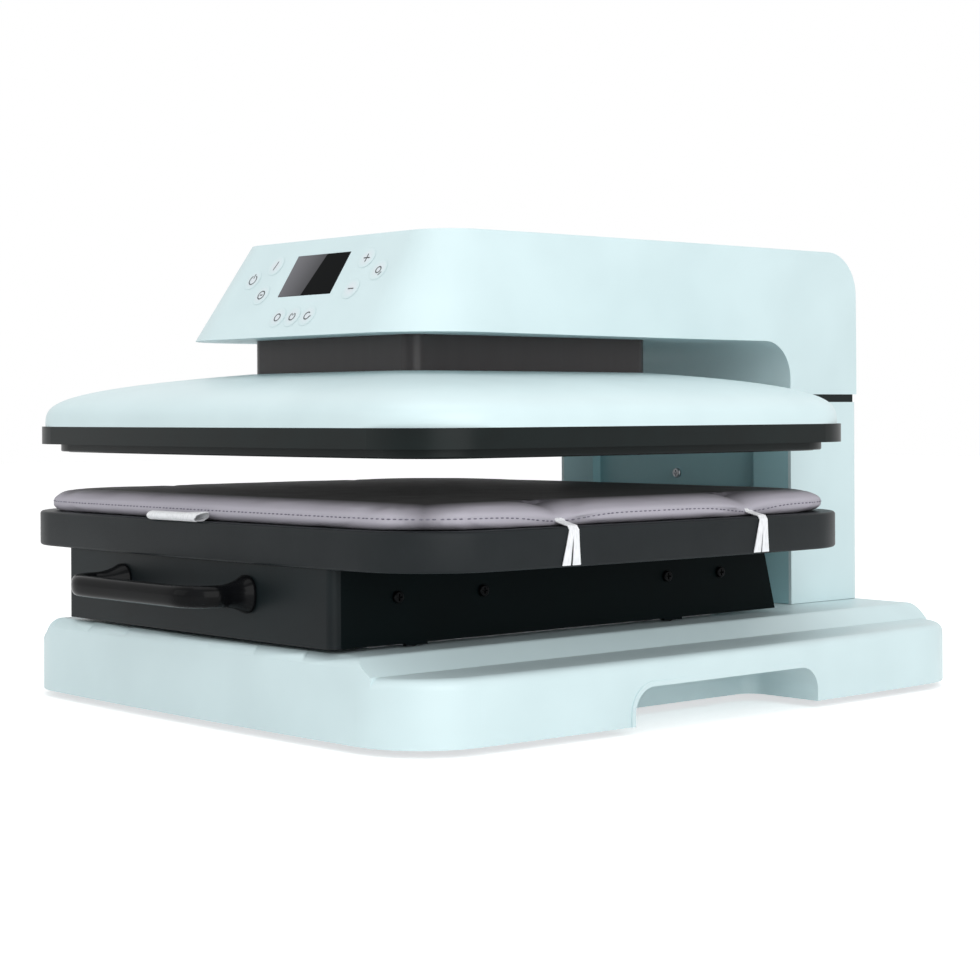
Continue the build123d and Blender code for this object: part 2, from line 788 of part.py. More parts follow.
# Press pad: crowned, its sides drawn in a little between the corners
pad_width = table_width - 2 * pad_inset
pad_front = table_front + pad_inset
pad_rear = table_rear - pad_inset


def pad_face(inset, draw):
    """Outline of the pad at one height."""
    return bowed_face(pad_width - 2 * inset - 2 * draw, pad_front + inset + draw,
                      pad_rear - inset - draw, table_side_bow - draw, table_end_bow - draw,
                      table_corner_radius - pad_inset - inset * pad_corner_sharpening)


with BuildPart() as press_pad:
    with BuildSketch(Plane.XY.offset(pad_foot)):
        add(pad_face(0, pad_side_draw))
    extrude(amount=pad_edge_height)
    fillet(press_pad.faces().sort_by(Axis.Z)[0].edges(), pad_foot_round)
    with BuildSketch(Plane.XY.offset(pad_foot + pad_edge_height)):
        add(pad_face(0, pad_side_draw))
    for inset, rise in pad_crown_steps:
        with BuildSketch(Plane.XY.offset(pad_foot + pad_edge_height + pad_crown * rise)):
            add(pad_face(inset, pad_side_draw))
    loft(ruled=True)
finish_piece(press_pad, "press_pad")


def rim_x(place):
    """Half-width of the table at a distance from its middle."""
    share = place / (table_depth / 2)
    return table_width / 2 - table_side_bow * share * share


with BuildPart() as pad_ties:
    for side in (1, -1):
        for place in tie_places:
            for step in (-1, 1):
                tie_y = place + step * (tie_width + tie_pair_gap) / 2
                wall_x = rim_x(tie_y) + fit_gap
                top_x = wall_x - pad_inset + pad_side_draw + 3 * fit_gap
                with BuildSketch(Plane.XZ.offset(-(press_y + tie_y + tie_width / 2))):
                    with BuildLine():
                        Polyline(
                            (side * top_x, table_top + fit_gap),
                            (side * wall_x, table_top + fit_gap),
                            (side * wall_x, drawer_top - fit_gap),
                            (side * (wall_x - tie_tuck), drawer_top - fit_gap),
                            (side * (wall_x - tie_tuck), drawer_top - fit_gap - tie_thickness),
                            (side * (wall_x + tie_thickness),
                             drawer_top - fit_gap - tie_thickness),
                            (side * (wall_x + tie_thickness),
                             table_top + fit_gap + tie_thickness),
                            (side * top_x, table_top + fit_gap + tie_thickness),
                            close=True,
                        )
                    make_face()
                extrude(amount=tie_width)
finish_piece(pad_ties, "pad_ties")

tag_y = pad_front - fit_gap * 2
with BuildPart() as pad_tag:
    with BuildSketch(Plane.XY.offset(table_top + fit_gap)):
        with Locations((0, tag_y)):
            Rectangle(tag_width, tag_length, align=(Align.CENTER, Align.MAX))
    extrude(amount=tag_thickness)
finish_piece(pad_tag, "pad_tag")

# Hot plate and what is stacked on it
tier_front = lid_middle - tier_depth / 2
tier_rear = lid_middle + tier_depth / 2
tier_wall = (tier_width - plate_width) / 2 - plate_gap


def tier_face(inset):
    """Outline of the lid's lower step, drawn in by an inset."""
    return bowed_face(tier_width - 2 * inset, tier_front + inset, tier_rear - inset,
                      lid_side_bow, lid_end_bow, lid_corner_radius - (lid_width - tier_width) / 2 - inset)


def lid_face(inset):
    """Outline of the lid's rim, drawn in by an inset."""
    return bowed_face(lid_width - 2 * inset, lid_middle - lid_depth / 2 + inset,
                      lid_middle + lid_depth / 2 - inset, lid_side_bow, lid_end_bow,
                      lid_corner_radius - inset)


with BuildPart() as heating_plate:
    with BuildSketch(Plane.XY.offset(plate_bottom)):
        add(tier_face(tier_wall + plate_gap))
    extrude(amount=plate_thickness)
    fillet(heating_plate.edges().group_by(Axis.Z)[0], lid_edge_round)
finish_piece(heating_plate, "heating_plate")

with BuildPart() as platen_frame:
    with BuildSketch(Plane.XY.offset(tier_bottom)):
        add(tier_face(0))
    extrude(amount=tier_height)
    fillet(platen_frame.faces().sort_by(Axis.Z)[0].edges(), lid_edge_round)
    with BuildSketch(Plane.XY.offset(lid_frame_bottom)):
        add(lid_face(0))
    extrude(amount=lid_frame_height)
    with BuildSketch(Plane.XY.offset(tier_bottom)):
        add(tier_face(tier_wall))
    extrude(amount=tier_height + lid_frame_height, mode=Mode.SUBTRACT)
finish_piece(platen_frame, "platen_frame")

row_span = (element_rows - 1) * element_pitch
element_z = plate_top + element_diameter / 2
with BuildPart() as heating_element:
    with BuildLine() as element_path:
        row_points = []
        for row in range(element_rows):
            turn = 1 if row % 2 == 0 else -1
            row_y = lid_middle - row_span / 2 + row * element_pitch
            row_points.append((-turn * element_reach / 2, row_y, element_z))
            row_points.append((turn * element_reach / 2, row_y, element_z))
        FilletPolyline(*row_points, radius=element_bend)
    with BuildSketch(Plane(origin=element_path.line @ 0, z_dir=element_path.line % 0)):
        Circle(element_diameter / 2)
    sweep(path=element_path.line)
finish_piece(heating_element, "heating_element")

with BuildPart() as insulation_sheet:
    with BuildSketch(Plane.XY.offset(felt_bottom)):
        add(tier_face(tier_wall + plate_gap + felt_inset))
    extrude(amount=felt_thickness)
finish_piece(insulation_sheet, "insulation_sheet")

with BuildPart() as backing_plate:
    with BuildSketch(Plane.XY.offset(backing_bottom)):
        add(lid_face(lid_wall + backing_margin))
    extrude(amount=backing_thickness)
finish_piece(backing_plate, "backing_plate")

with BuildPart() as plate_posts:
    with BuildSketch(Plane.XY.offset(backing_bottom + backing_thickness)):
        with Locations((0, lid_middle)):
            with GridLocations(post_span_x, post_span_y, 2, 2):
                Circle(post_diameter / 2)
    extrude(amount=post_height)
finish_piece(plate_posts, "plate_posts")

with BuildPart() as carriage_plate:
    with BuildSketch(Plane.XY.offset(carriage_bottom)):
        with Locations((0, lid_middle + carriage_shift)):
            RectangleRounded(carriage_width, carriage_depth, carriage_corner)
    extrude(amount=carriage_thickness)
finish_piece(carriage_plate, "carriage_plate")

# Lid cover: an upright rim under a crowned top that meets the sleeve
sleeve_front = base_front + sleeve_setback
sleeve_rear = sleeve_front + sleeve_depth
sleeve_middle = (sleeve_front + sleeve_rear) / 2


def lid_step(share, inset):
    """Cover outline between its rim, at share 0, and its flat top, at share 1."""
    top_width = sleeve_width + 2 * crown_margin
    rim_front = lid_middle - lid_depth / 2 + inset
    rim_rear = lid_middle + lid_depth / 2 - inset
    width = lid_width - 2 * inset + share * (top_width - lid_width + 2 * inset)
    front = rim_front + share * (sleeve_front - crown_margin - rim_front)
    rear = rim_rear + share * (sleeve_rear + crown_margin - rim_rear)
    bow = lid_side_bow * (1 - (1 - crown_bow_left) * share)
    radius = (lid_corner_radius - inset) * (1 - (1 - crown_corner_left) * share)
    return bowed_face(width, front, rear, bow, bow, radius)


def lid_dome(inset):
    """Solid under the crowned cover, drawn in all over by an inset."""
    with BuildPart(mode=Mode.PRIVATE) as dome:
        for ring in range(crown_rings + 1):
            rise = ring / crown_rings
            level = lid_frame_top + rise * (lid_cover_height - inset)
            with BuildSketch(Plane.XY.offset(level)):
                add(lid_step(rise ** crown_power, inset))
        loft(ruled=True)
    return dome.part


with BuildPart() as lid_cover:
    add(lid_dome(0))
    add(lid_dome(lid_wall), mode=Mode.SUBTRACT)
    with BuildSketch(Plane.XY.offset(lid_top)):
        with Locations((0, sleeve_middle)):
            RectangleRounded(sleeve_width + 2 * fit_gap, sleeve_depth + 2 * fit_gap,
                             sleeve_corner_radius)
    extrude(amount=-3 * lid_wall, mode=Mode.SUBTRACT)
finish_piece(lid_cover, "lid_cover")

with BuildPart() as neck_sleeve:
    with BuildSketch(Plane.XY.offset(carriage_top)):
        with Locations((0, sleeve_middle)):
            RectangleRounded(sleeve_width, sleeve_depth, sleeve_corner_radius)
            RectangleRounded(sleeve_width - 2 * sleeve_wall, sleeve_depth - 2 * sleeve_wall,
                             sleeve_corner_radius - sleeve_wall, mode=Mode.SUBTRACT)
    extrude(amount=sleeve_height)
finish_piece(neck_sleeve, "neck_sleeve")

# Lift drive: push tube with its nut, lead screw, gears, motor and guides
nut_bottom = beam_bottom - bearing_height - nut_clear - nut_height
with BuildPart() as push_tube:
    with BuildSketch(Plane.XY.offset(carriage_top)):
        with Locations((0, screw_y)):
            Circle(push_tube_diameter / 2)
            Circle(push_tube_bore / 2, mode=Mode.SUBTRACT)
    extrude(amount=nut_bottom - carriage_top)
finish_piece(push_tube, "push_tube")

with BuildPart() as lift_nut:
    with BuildSketch(Plane.XY.offset(nut_bottom)):
        with Locations((0, screw_y)):
            Circle(nut_diameter / 2)
            Circle(screw_diameter / 2 + bearing_gap, mode=Mode.SUBTRACT)
    extrude(amount=nut_height)
finish_piece(lift_nut, "lift_nut")

with BuildPart() as screw_bearing:
    with BuildSketch(Plane.XY.offset(beam_bottom - bearing_height)):
        with Locations((0, screw_y)):
            Circle(bearing_diameter / 2)
            Circle(screw_journal / 2 + bearing_gap, mode=Mode.SUBTRACT)
    extrude(amount=bearing_height)
finish_piece(screw_bearing, "screw_bearing")

gear_bottom = beam_top + gear_lift
gear_top = gear_bottom + gear_thickness
screw_foot = carriage_top + nut_clear * 2
screw_shoulder = beam_bottom - bearing_height - slide_gap
with BuildPart() as lead_screw:
    with BuildSketch(Plane.XY.offset(screw_foot)):
        with Locations((0, screw_y)):
            Circle(screw_diameter / 2)
    extrude(amount=screw_shoulder - screw_foot)
    chamfer(lead_screw.edges().group_by(Axis.Z)[0], edge_chamfer)
    with BuildSketch(Plane.XY.offset(screw_shoulder)):
        with Locations((0, screw_y)):
            Circle(screw_journal / 2)
    extrude(amount=gear_top - screw_shoulder)
finish_piece(lead_screw, "lead_screw")


def gear_face(teeth, bore, first_angle):
    """Spur gear outline with involute flanks, its first tooth at first_angle degrees."""
    pressure = math.radians(gear_pressure_angle)
    pitch_radius = gear_module * teeth / 2
    base_radius = pitch_radius * math.cos(pressure)
    tip_radius = pitch_radius + gear_module
    root_radius = pitch_radius - gear_root_depth * gear_module
    sunk_radius = root_radius - edge_chamfer / 2

    def roll(radius):
        """Angle that the involute has turned through at a radius."""
        slope = math.acos(min(1.0, base_radius / radius))
        return math.tan(slope) - slope

    half_tooth = (math.pi * gear_module / 2 - backlash) / 2 / pitch_radius

    def flank(radius, side, middle):
        """Point of a tooth flank at a radius."""
        angle = middle + side * (half_tooth + roll(pitch_radius) - roll(radius))
        return (radius * math.cos(angle), radius * math.sin(angle))

    foot_radius = max(base_radius, root_radius)
    with BuildSketch(Plane.XY, mode=Mode.PRIVATE) as blank:
        Circle(root_radius)
        for tooth in range(teeth):
            middle = math.radians(first_angle) + tooth * 2 * math.pi / teeth
            low = [flank(foot_radius, side, middle) for side in (-1, 1)]
            inner = [(sunk_radius * math.cos(middle + side * half_tooth),
                      sunk_radius * math.sin(middle + side * half_tooth))
                     for side in (-1, 1)]
            with BuildLine():
                for side, place in ((-1, 0), (1, 1)):
                    Line(inner[place], low[place])
                    ThreePointArc(low[place], flank(pitch_radius, side, middle),
                                  flank(tip_radius, side, middle))
                Line(flank(tip_radius, -1, middle), flank(tip_radius, 1, middle))
                Line(inner[0], inner[1])
            make_face()
        Circle(bore, mode=Mode.SUBTRACT)
    return blank.sketch


with BuildPart() as screw_gear:
    with BuildSketch(Plane.XY.offset(gear_bottom)):
        with Locations((0, screw_y)):
            add(gear_face(gear_teeth, screw_journal / 2, 90))
    extrude(amount=gear_thickness)
finish_piece(screw_gear, "screw_gear")

with BuildPart() as motor_pinion:
    with BuildSketch(Plane.XY.offset(gear_bottom)):
        with Locations((0, motor_y)):
            add(gear_face(pinion_teeth, motor_shaft / 2 + bearing_gap, 270 + 180 / pinion_teeth))
    extrude(amount=gear_thickness)
finish_piece(motor_pinion, "motor_pinion")

with BuildPart() as drive_motor:
    with BuildSketch(Plane.XY.offset(beam_bottom - motor_height)):
        with Locations((0, motor_y)):
            Circle(motor_diameter / 2)
    extrude(amount=motor_height)
    fillet(drive_motor.edges().group_by(Axis.Z)[0], motor_round)
    with BuildSketch(Plane.XY.offset(beam_bottom)):
        with Locations((0, motor_y)):
            Circle(motor_shaft / 2)
    extrude(amount=gear_top - beam_bottom)
finish_piece(drive_motor, "drive_motor")

with BuildPart() as guide_bushings:
    with BuildSketch(Plane.XY.offset(beam_bottom - bushing_height)):
        with Locations((0, screw_y)):
            with GridLocations(guide_span_x, guide_span_y, 2, 2):
                Circle(guide_diameter / 2 + bushing_wall)
                Circle(guide_diameter / 2 + bearing_gap, mode=Mode.SUBTRACT)
    extrude(amount=bushing_height)
finish_piece(guide_bushings, "guide_bushings")

guide_top = beam_bottom + press_travel - guide_spare
with BuildPart() as guide_rods:
    with BuildSketch(Plane.XY.offset(carriage_top)):
        with Locations((0, screw_y)):
            with GridLocations(guide_span_x, guide_span_y, 2, 2):
                Circle(guide_diameter / 2)
    extrude(amount=guide_top - carriage_top)
    chamfer(guide_rods.edges().group_by(Axis.Z)[-1], edge_chamfer)
finish_piece(guide_rods, "guide_rods")

# Head shell: a slanted front, a long arm and the upper part of the column
head_low_half = head_low_width / 2
head_top_half = head_top_width / 2
panel_length = math.hypot(head_height, head_lean)
panel_plane = Plane(origin=(0, head_front, head_bottom), x_dir=(1, 0, 0),
                    z_dir=(0, -head_height, head_lean))
seam_top = seam_bottom + seam_height


def head_face(front, front_half, rear_half, corner, inset):
    """Plan of the head at one height, flaring from the column to the front."""
    with BuildSketch(Plane.XY, mode=Mode.PRIVATE) as plan:
        front_right = (front_half - inset, front + inset)
        hip_right = (rear_half - inset, column_front)
        rear_right = (rear_half - inset, column_rear - inset)
        with BuildLine():
            Line((-front_right[0], front_right[1]), front_right)
            TangentArc(hip_right, front_right, tangent=(0, -1))
            Line(hip_right, rear_right)
            Line(rear_right, (-rear_right[0], rear_right[1]))
            Line((-rear_right[0], rear_right[1]), (-hip_right[0], hip_right[1]))
            TangentArc((-hip_right[0], hip_right[1]), (-front_right[0], front_right[1]),
                       tangent=(0, -1))
        make_face()
        fillet(plan.vertices().group_by(Axis.Y)[0], corner - inset)
    return plan.sketch


def head_block(inset, column_foot):
    """The head and the top of the column as one solid, drawn in by an inset."""
    low = head_bottom + inset
    with BuildPart(mode=Mode.PRIVATE) as block:
        with BuildSketch(Plane.XY.offset(low)):
            add(head_face(head_front, head_low_half, column_half, head_low_corner, inset))
        with BuildSketch(Plane.XY.offset(head_top - inset)):
            add(head_face(head_front + head_lean, head_top_half, column_half - head_taper,
                          head_top_corner, inset))
        loft(ruled=True)
        with BuildSketch(Plane.XY.offset(column_foot)):
            with Locations((0, column_middle)):
                Rectangle(2 * (column_half - inset), column_depth - 2 * inset)
        extrude(amount=low - column_foot)
        corner_y = column_front + inset
        bend = arch_radius + inset
        with BuildSketch(Plane.YZ.offset(inset - column_half)):
            with BuildLine():
                Polyline((corner_y - bend, low), (corner_y, low), (corner_y, low - bend))
                RadiusArc((corner_y, low - bend), (corner_y - bend, low), -bend)
            make_face()
        extrude(amount=2 * (column_half - inset))
        rear_edges = block.edges().filter_by(
            lambda edge: near(edge, y=column_rear - inset, z=head_top - inset))
        fillet(rear_edges, head_rear_round - inset)
    return block.part


def arm_opening(inset):
    """Opening under the arm, or the panel that fills it, drawn in by an inset."""
    rear_edge = column_front - arch_radius - underside_margin - inset
    with BuildSketch(Plane.XY, mode=Mode.PRIVATE) as opening:
        add(head_face(head_front, head_low_half, column_half, head_low_corner,
                      underside_margin + inset))
        with Locations((0, rear_edge)):
            Rectangle(2 * head_low_width, 2 * base_depth, align=(Align.CENTER, Align.MAX),
                      mode=Mode.INTERSECT)
    return opening.sketch


with BuildPart() as head_shell:
    add(head_block(0, seam_top))
    add(head_block(head_wall, seam_top - head_wall), mode=Mode.SUBTRACT)
    with BuildSketch(Plane.XY.offset(head_bottom)):
        add(arm_opening(0))
    extrude(amount=head_wall, mode=Mode.SUBTRACT)
    with BuildSketch(panel_plane):
        with Locations((0, screen_centre)):
            Rectangle(screen_width + 2 * fit_gap, screen_height + 2 * fit_gap)
    extrude(amount=-2 * head_wall, mode=Mode.SUBTRACT)
    with BuildSketch(panel_plane):
        with Locations(*key_places):
            Circle(key_diameter / 2 + fit_gap / 3)
    extrude(amount=-key_depth, mode=Mode.SUBTRACT)
finish_piece(head_shell, "head_shell")

with BuildPart() as head_underside:
    with BuildSketch(Plane.XY.offset(head_bottom)):
        add(arm_opening(fit_gap))
        with Locations((0, sleeve_middle)):
            RectangleRounded(sleeve_width + 2 * sleeve_clearance,
                             sleeve_depth + 2 * sleeve_clearance,
                             sleeve_corner_radius + sleeve_clearance, mode=Mode.SUBTRACT)
    extrude(amount=head_wall)
finish_piece(head_underside, "head_underside")

# Control panel
glass_face = key_proud
glass_back = glass_face - glass_thickness
board_face = -board_gap
with BuildPart() as display_glass:
    with BuildSketch(panel_plane.offset(glass_back)):
        with Locations((0, screen_centre)):
            Rectangle(screen_width, screen_height)
    extrude(amount=glass_thickness)
finish_piece(display_glass, "display_glass")

with BuildPart() as display_module:
    with BuildSketch(panel_plane.offset(board_face)):
        with Locations((0, screen_centre)):
            Rectangle(screen_width - 2 * glass_thickness, screen_height - 2 * glass_thickness)
    extrude(amount=glass_back - board_face)
finish_piece(display_module, "display_module")

with BuildPart() as touch_keys:
    with BuildSketch(panel_plane.offset(-key_depth)):
        with Locations(*key_places):
            Circle(key_diameter / 2)
    extrude(amount=key_depth + key_proud)
finish_piece(touch_keys, "touch_keys")

with BuildPart() as control_board:
    with BuildSketch(panel_plane.offset(board_face - board_thickness)):
        with Locations((0, panel_length / 2)):
            Rectangle(board_width, board_height)
    extrude(amount=board_thickness)
finish_piece(control_board, "control_board")

# Column: seam band, recessed front cover and wrap-round rear cover
cover_foot = base_top + fit_gap
cover_height = seam_bottom - cover_foot
with BuildPart() as seam_band:
    with BuildSketch(Plane.XY.offset(seam_bottom)):
        with Locations((0, column_middle)):
            Rectangle(column_width - 2 * seam_inset, column_depth - 2 * seam_inset)
            Rectangle(column_width - 2 * seam_inset - 2 * cover_wall,
                      column_depth - 2 * seam_inset - 2 * cover_wall, mode=Mode.SUBTRACT)
    extrude(amount=seam_height)
finish_piece(seam_band, "seam_band")

entry_z = base_top + entry_height
vent_z = base_top + vent_height
with BuildPart() as column_rear_cover:
    with BuildSketch(Plane.XY.offset(cover_foot)):
        with Locations((0, column_middle)):
            Rectangle(column_width, column_depth)
    extrude(amount=cover_height)
    rear_corners = column_rear_cover.edges().filter_by(Axis.Z).group_by(Axis.Y)[-1]
    fillet(rear_corners, column_edge_round)
    with BuildSketch(Plane.XY.offset(cover_foot)):
        with Locations((0, column_front)):
            Rectangle(column_width - 2 * cover_wall, 2 * (column_depth - cover_wall))
    extrude(amount=cover_height, mode=Mode.SUBTRACT)
    with BuildSketch(Plane.XZ.offset(-column_rear)):
        with Locations((0, vent_z)):
            with GridLocations(vent_column_pitch, vent_pitch, 2, vent_count):
                SlotOverall(vent_length, vent_width)
        with Locations((inlet_x, entry_z)):
            Rectangle(inlet_width + 2 * fit_gap, inlet_height + 2 * fit_gap)
        with Locations((switch_x, entry_z)):
            Rectangle(switch_width + 2 * switch_flange + 2 * fit_gap,
                      switch_height + 2 * switch_flange + 2 * fit_gap)
    extrude(amount=cover_wall, mode=Mode.SUBTRACT)
finish_piece(column_rear_cover, "column_rear_cover")

column_screw_z = base_top + column_screw_height
strip_width = (column_width - recess_width) / 2 - cover_wall - fit_gap
front_depth = recess_depth + cover_wall
with BuildPart() as column_front_cover:
    with BuildSketch(Plane.XY.offset(cover_foot)):
        with Locations((0, column_front)):
            Rectangle(recess_width + 2 * strip_width, front_depth, align=(Align.CENTER, Align.MIN))
            Rectangle(recess_width, recess_depth, align=(Align.CENTER, Align.MIN),
                      mode=Mode.SUBTRACT)
        for side in (1, -1):
            with Locations((side * (recess_width + strip_width) / 2, column_front + cover_wall)):
                Rectangle(strip_width - 2 * cover_wall, recess_depth,
                          align=(Align.CENTER, Align.MIN), mode=Mode.SUBTRACT)
    extrude(amount=cover_height)
    with BuildSketch(Plane.XZ.offset(-(column_front + recess_depth))):
        with Locations((0, column_screw_z)):
            Circle(boss_hole / 2)
    extrude(amount=-cover_wall, mode=Mode.SUBTRACT)
finish_piece(column_front_cover, "column_front_cover")

cover_screw_shank = boss_hole - 2 * bearing_gap
with BuildPart() as cover_screws:
    for side in (1, -1):
        for end in (1, -1):
            seat = Plane(origin=(side * boss_span_x / 2, base_middle + end * boss_span_y / 2,
                                 pan_floor), z_dir=(0, 0, -1))
            with Locations(seat):
                add(screw_solid(rail_screw_head, pan_rise * 0.8, cover_screw_shank,
                                boss_hole_depth - fit_gap))
    seat = Plane(origin=(0, column_front + recess_depth, column_screw_z), z_dir=(0, -1, 0))
    with Locations(seat):
        add(screw_solid(rail_screw_head, rail_screw_head_height, cover_screw_shank, cover_wall))
finish_piece(cover_screws, "cover_screws")

# Power board, inlet and switch
with BuildPart() as power_board:
    with BuildSketch(Plane.XZ.offset(-frame_middle)):
        with Locations((0, vent_z)):
            Rectangle(power_board_width, power_board_height)
    extrude(amount=board_thickness)
    with BuildSketch(Plane.XZ.offset(-(frame_middle - board_thickness))):
        with Locations((0, vent_z)):
            with GridLocations(block_pitch_x, block_pitch_z, 3, 2):
                Rectangle(block_width, block_height)
    extrude(amount=block_depth)
finish_piece(power_board, "power_board")

with BuildPart() as power_inlet:
    with BuildSketch(Plane.XZ.offset(-column_rear)):
        with Locations((inlet_x, entry_z)):
            RectangleRounded(inlet_flange_x, inlet_flange_z, inlet_corner)
    extrude(amount=-inlet_wall)
    with BuildSketch(Plane.XZ.offset(-column_rear)):
        with Locations((inlet_x, entry_z)):
            Rectangle(inlet_width, inlet_height)
    extrude(amount=inlet_depth)
    with BuildSketch(Plane.XZ.offset(-(column_rear + inlet_wall))):
        with Locations((inlet_x, entry_z)):
            Rectangle(inlet_width - 2 * inlet_wall, inlet_height - 2 * inlet_wall)
    extrude(amount=inlet_depth, mode=Mode.SUBTRACT)
    with BuildSketch(Plane.XZ.offset(-(column_rear - inlet_depth + inlet_wall))):
        with Locations((inlet_x, entry_z)):
            with GridLocations(blade_pitch, 1, 3, 1):
                Rectangle(blade_width, blade_height)
    extrude(amount=-(inlet_depth - inlet_wall * 2))
finish_piece(power_inlet, "power_inlet")

rocker_y = column_rear - rocker_sink
trunnion_half = switch_width / 2 + trunnion_reach
trunnion_room = trunnion_half + slide_gap
with BuildPart() as switch_housing:
    with BuildSketch(Plane.XZ.offset(-column_rear - switch_flange / 2)):
        with Locations((switch_x, entry_z)):
            Rectangle(switch_width + 2 * switch_flange, switch_height + 2 * switch_flange)
    extrude(amount=inlet_depth - inlet_wall * 2)
    with BuildSketch(Plane.XZ.offset(-column_rear - switch_flange / 2)):
        with Locations((switch_x, entry_z)):
            Rectangle(switch_width, switch_height)
    extrude(amount=inlet_depth - inlet_wall * 3, mode=Mode.SUBTRACT)
    with BuildSketch(Plane.YZ.offset(switch_x - trunnion_room)):
        with Locations((rocker_y, entry_z)):
            Circle(trunnion_diameter / 2 + bearing_gap)
    extrude(amount=2 * trunnion_room, mode=Mode.SUBTRACT)
finish_piece(switch_housing, "switch_housing")

rocker_half = switch_height / 2 - rocker_play
rocker_plane = Plane(origin=(switch_x, rocker_y, entry_z),
                     x_dir=(0, math.cos(math.radians(rocker_tilt)),
                            math.sin(math.radians(rocker_tilt))),
                     z_dir=(1, 0, 0))
with BuildPart() as power_rocker:
    with BuildSketch(rocker_plane.offset(slide_gap - switch_width / 2)):
        with BuildLine():
            Polyline((0, -rocker_half), (rocker_rise + rocker_tip, -rocker_half),
                     (rocker_rise, 0), (rocker_rise + rocker_tip, rocker_half),
                     (0, rocker_half), (-rocker_rise, 0), close=True)
        make_face()
    extrude(amount=switch_width - 2 * slide_gap)
    with BuildSketch(Plane.YZ.offset(switch_x - trunnion_half)):
        with Locations((rocker_y, entry_z)):
            Circle(trunnion_diameter / 2)
    extrude(amount=2 * trunnion_half)
finish_piece(power_rocker, "power_rocker")

# Thermostat clamped on the hot plate between two rows of the element
with BuildPart() as thermostat:
    with BuildSketch(Plane.XY.offset(plate_top)):
        with Locations((0, lid_middle)):
            Circle(thermostat_diameter / 2)
    extrude(amount=element_diameter)
finish_piece(thermostat, "thermostat")
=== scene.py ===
import bmesh
import bpy
import math
from functools import lru_cache
from bpy.props import FloatProperty, IntProperty, PointerProperty, StringProperty
from mathutils import Matrix, Vector
from mathutils.bvhtree import BVHTree


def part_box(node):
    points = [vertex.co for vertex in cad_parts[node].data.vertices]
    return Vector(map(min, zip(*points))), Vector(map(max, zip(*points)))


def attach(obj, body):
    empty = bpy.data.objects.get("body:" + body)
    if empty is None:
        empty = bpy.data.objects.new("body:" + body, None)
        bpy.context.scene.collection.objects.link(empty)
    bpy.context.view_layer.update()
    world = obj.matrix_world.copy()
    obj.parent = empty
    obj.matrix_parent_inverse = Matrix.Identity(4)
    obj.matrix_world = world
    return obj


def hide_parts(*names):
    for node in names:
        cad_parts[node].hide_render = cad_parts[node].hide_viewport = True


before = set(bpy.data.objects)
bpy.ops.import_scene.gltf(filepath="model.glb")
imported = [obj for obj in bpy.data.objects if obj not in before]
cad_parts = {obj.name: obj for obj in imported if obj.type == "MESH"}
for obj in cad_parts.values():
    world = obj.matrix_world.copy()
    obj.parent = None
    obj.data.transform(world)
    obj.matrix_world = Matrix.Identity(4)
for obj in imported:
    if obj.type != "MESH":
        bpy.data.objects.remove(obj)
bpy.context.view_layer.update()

bl_info = {
    "name": "Heat press",
    "version": (1, 0, 0),
    "blender": (4, 5, 0),
    "location": "3D View > Sidebar > Heat press",
    "description": "Dresses the frame of an automatic heat press",
    "category": "Object",
}

MM = 0.001
WAVE_LENGTH = 6.3               # at scale 1 / (6.3 x thread), one wave spans two threads

# Outlines and places that the pieces share with the frame, in metres
LID_BOW = 6.5 * MM
LID_CORNER = 50 * MM
TABLE_BOW = 6.5 * MM
TABLE_CORNER = 50 * MM
TABLE_WALL = 4 * MM
PAD_CORNER = 43.5 * MM
TIE_PLACES = (-79 * MM, 79 * MM)           # from the middle of the table
PULL_LEAN = 4 * MM
PULL_FOOT = (23 * MM, 21 * MM)             # height and width of the pull's feet
PULL_BAR = (13 * MM, 11 * MM)              # height and depth of its bar
PANEL_RISE = (63 * MM, 40 * MM)            # height and run of the slanted panel
KEY_PLACES = (                             # across and up the slanted panel
    (47 * MM, 56 * MM), (65 * MM, 46 * MM), (46.5 * MM, 33.3 * MM),
    (-47 * MM, 56 * MM), (-65 * MM, 46 * MM), (-46.5 * MM, 33.3 * MM),
    (-15.5 * MM, 14.8 * MM), (0.0, 14.8 * MM), (15.5 * MM, 14.8 * MM),
)


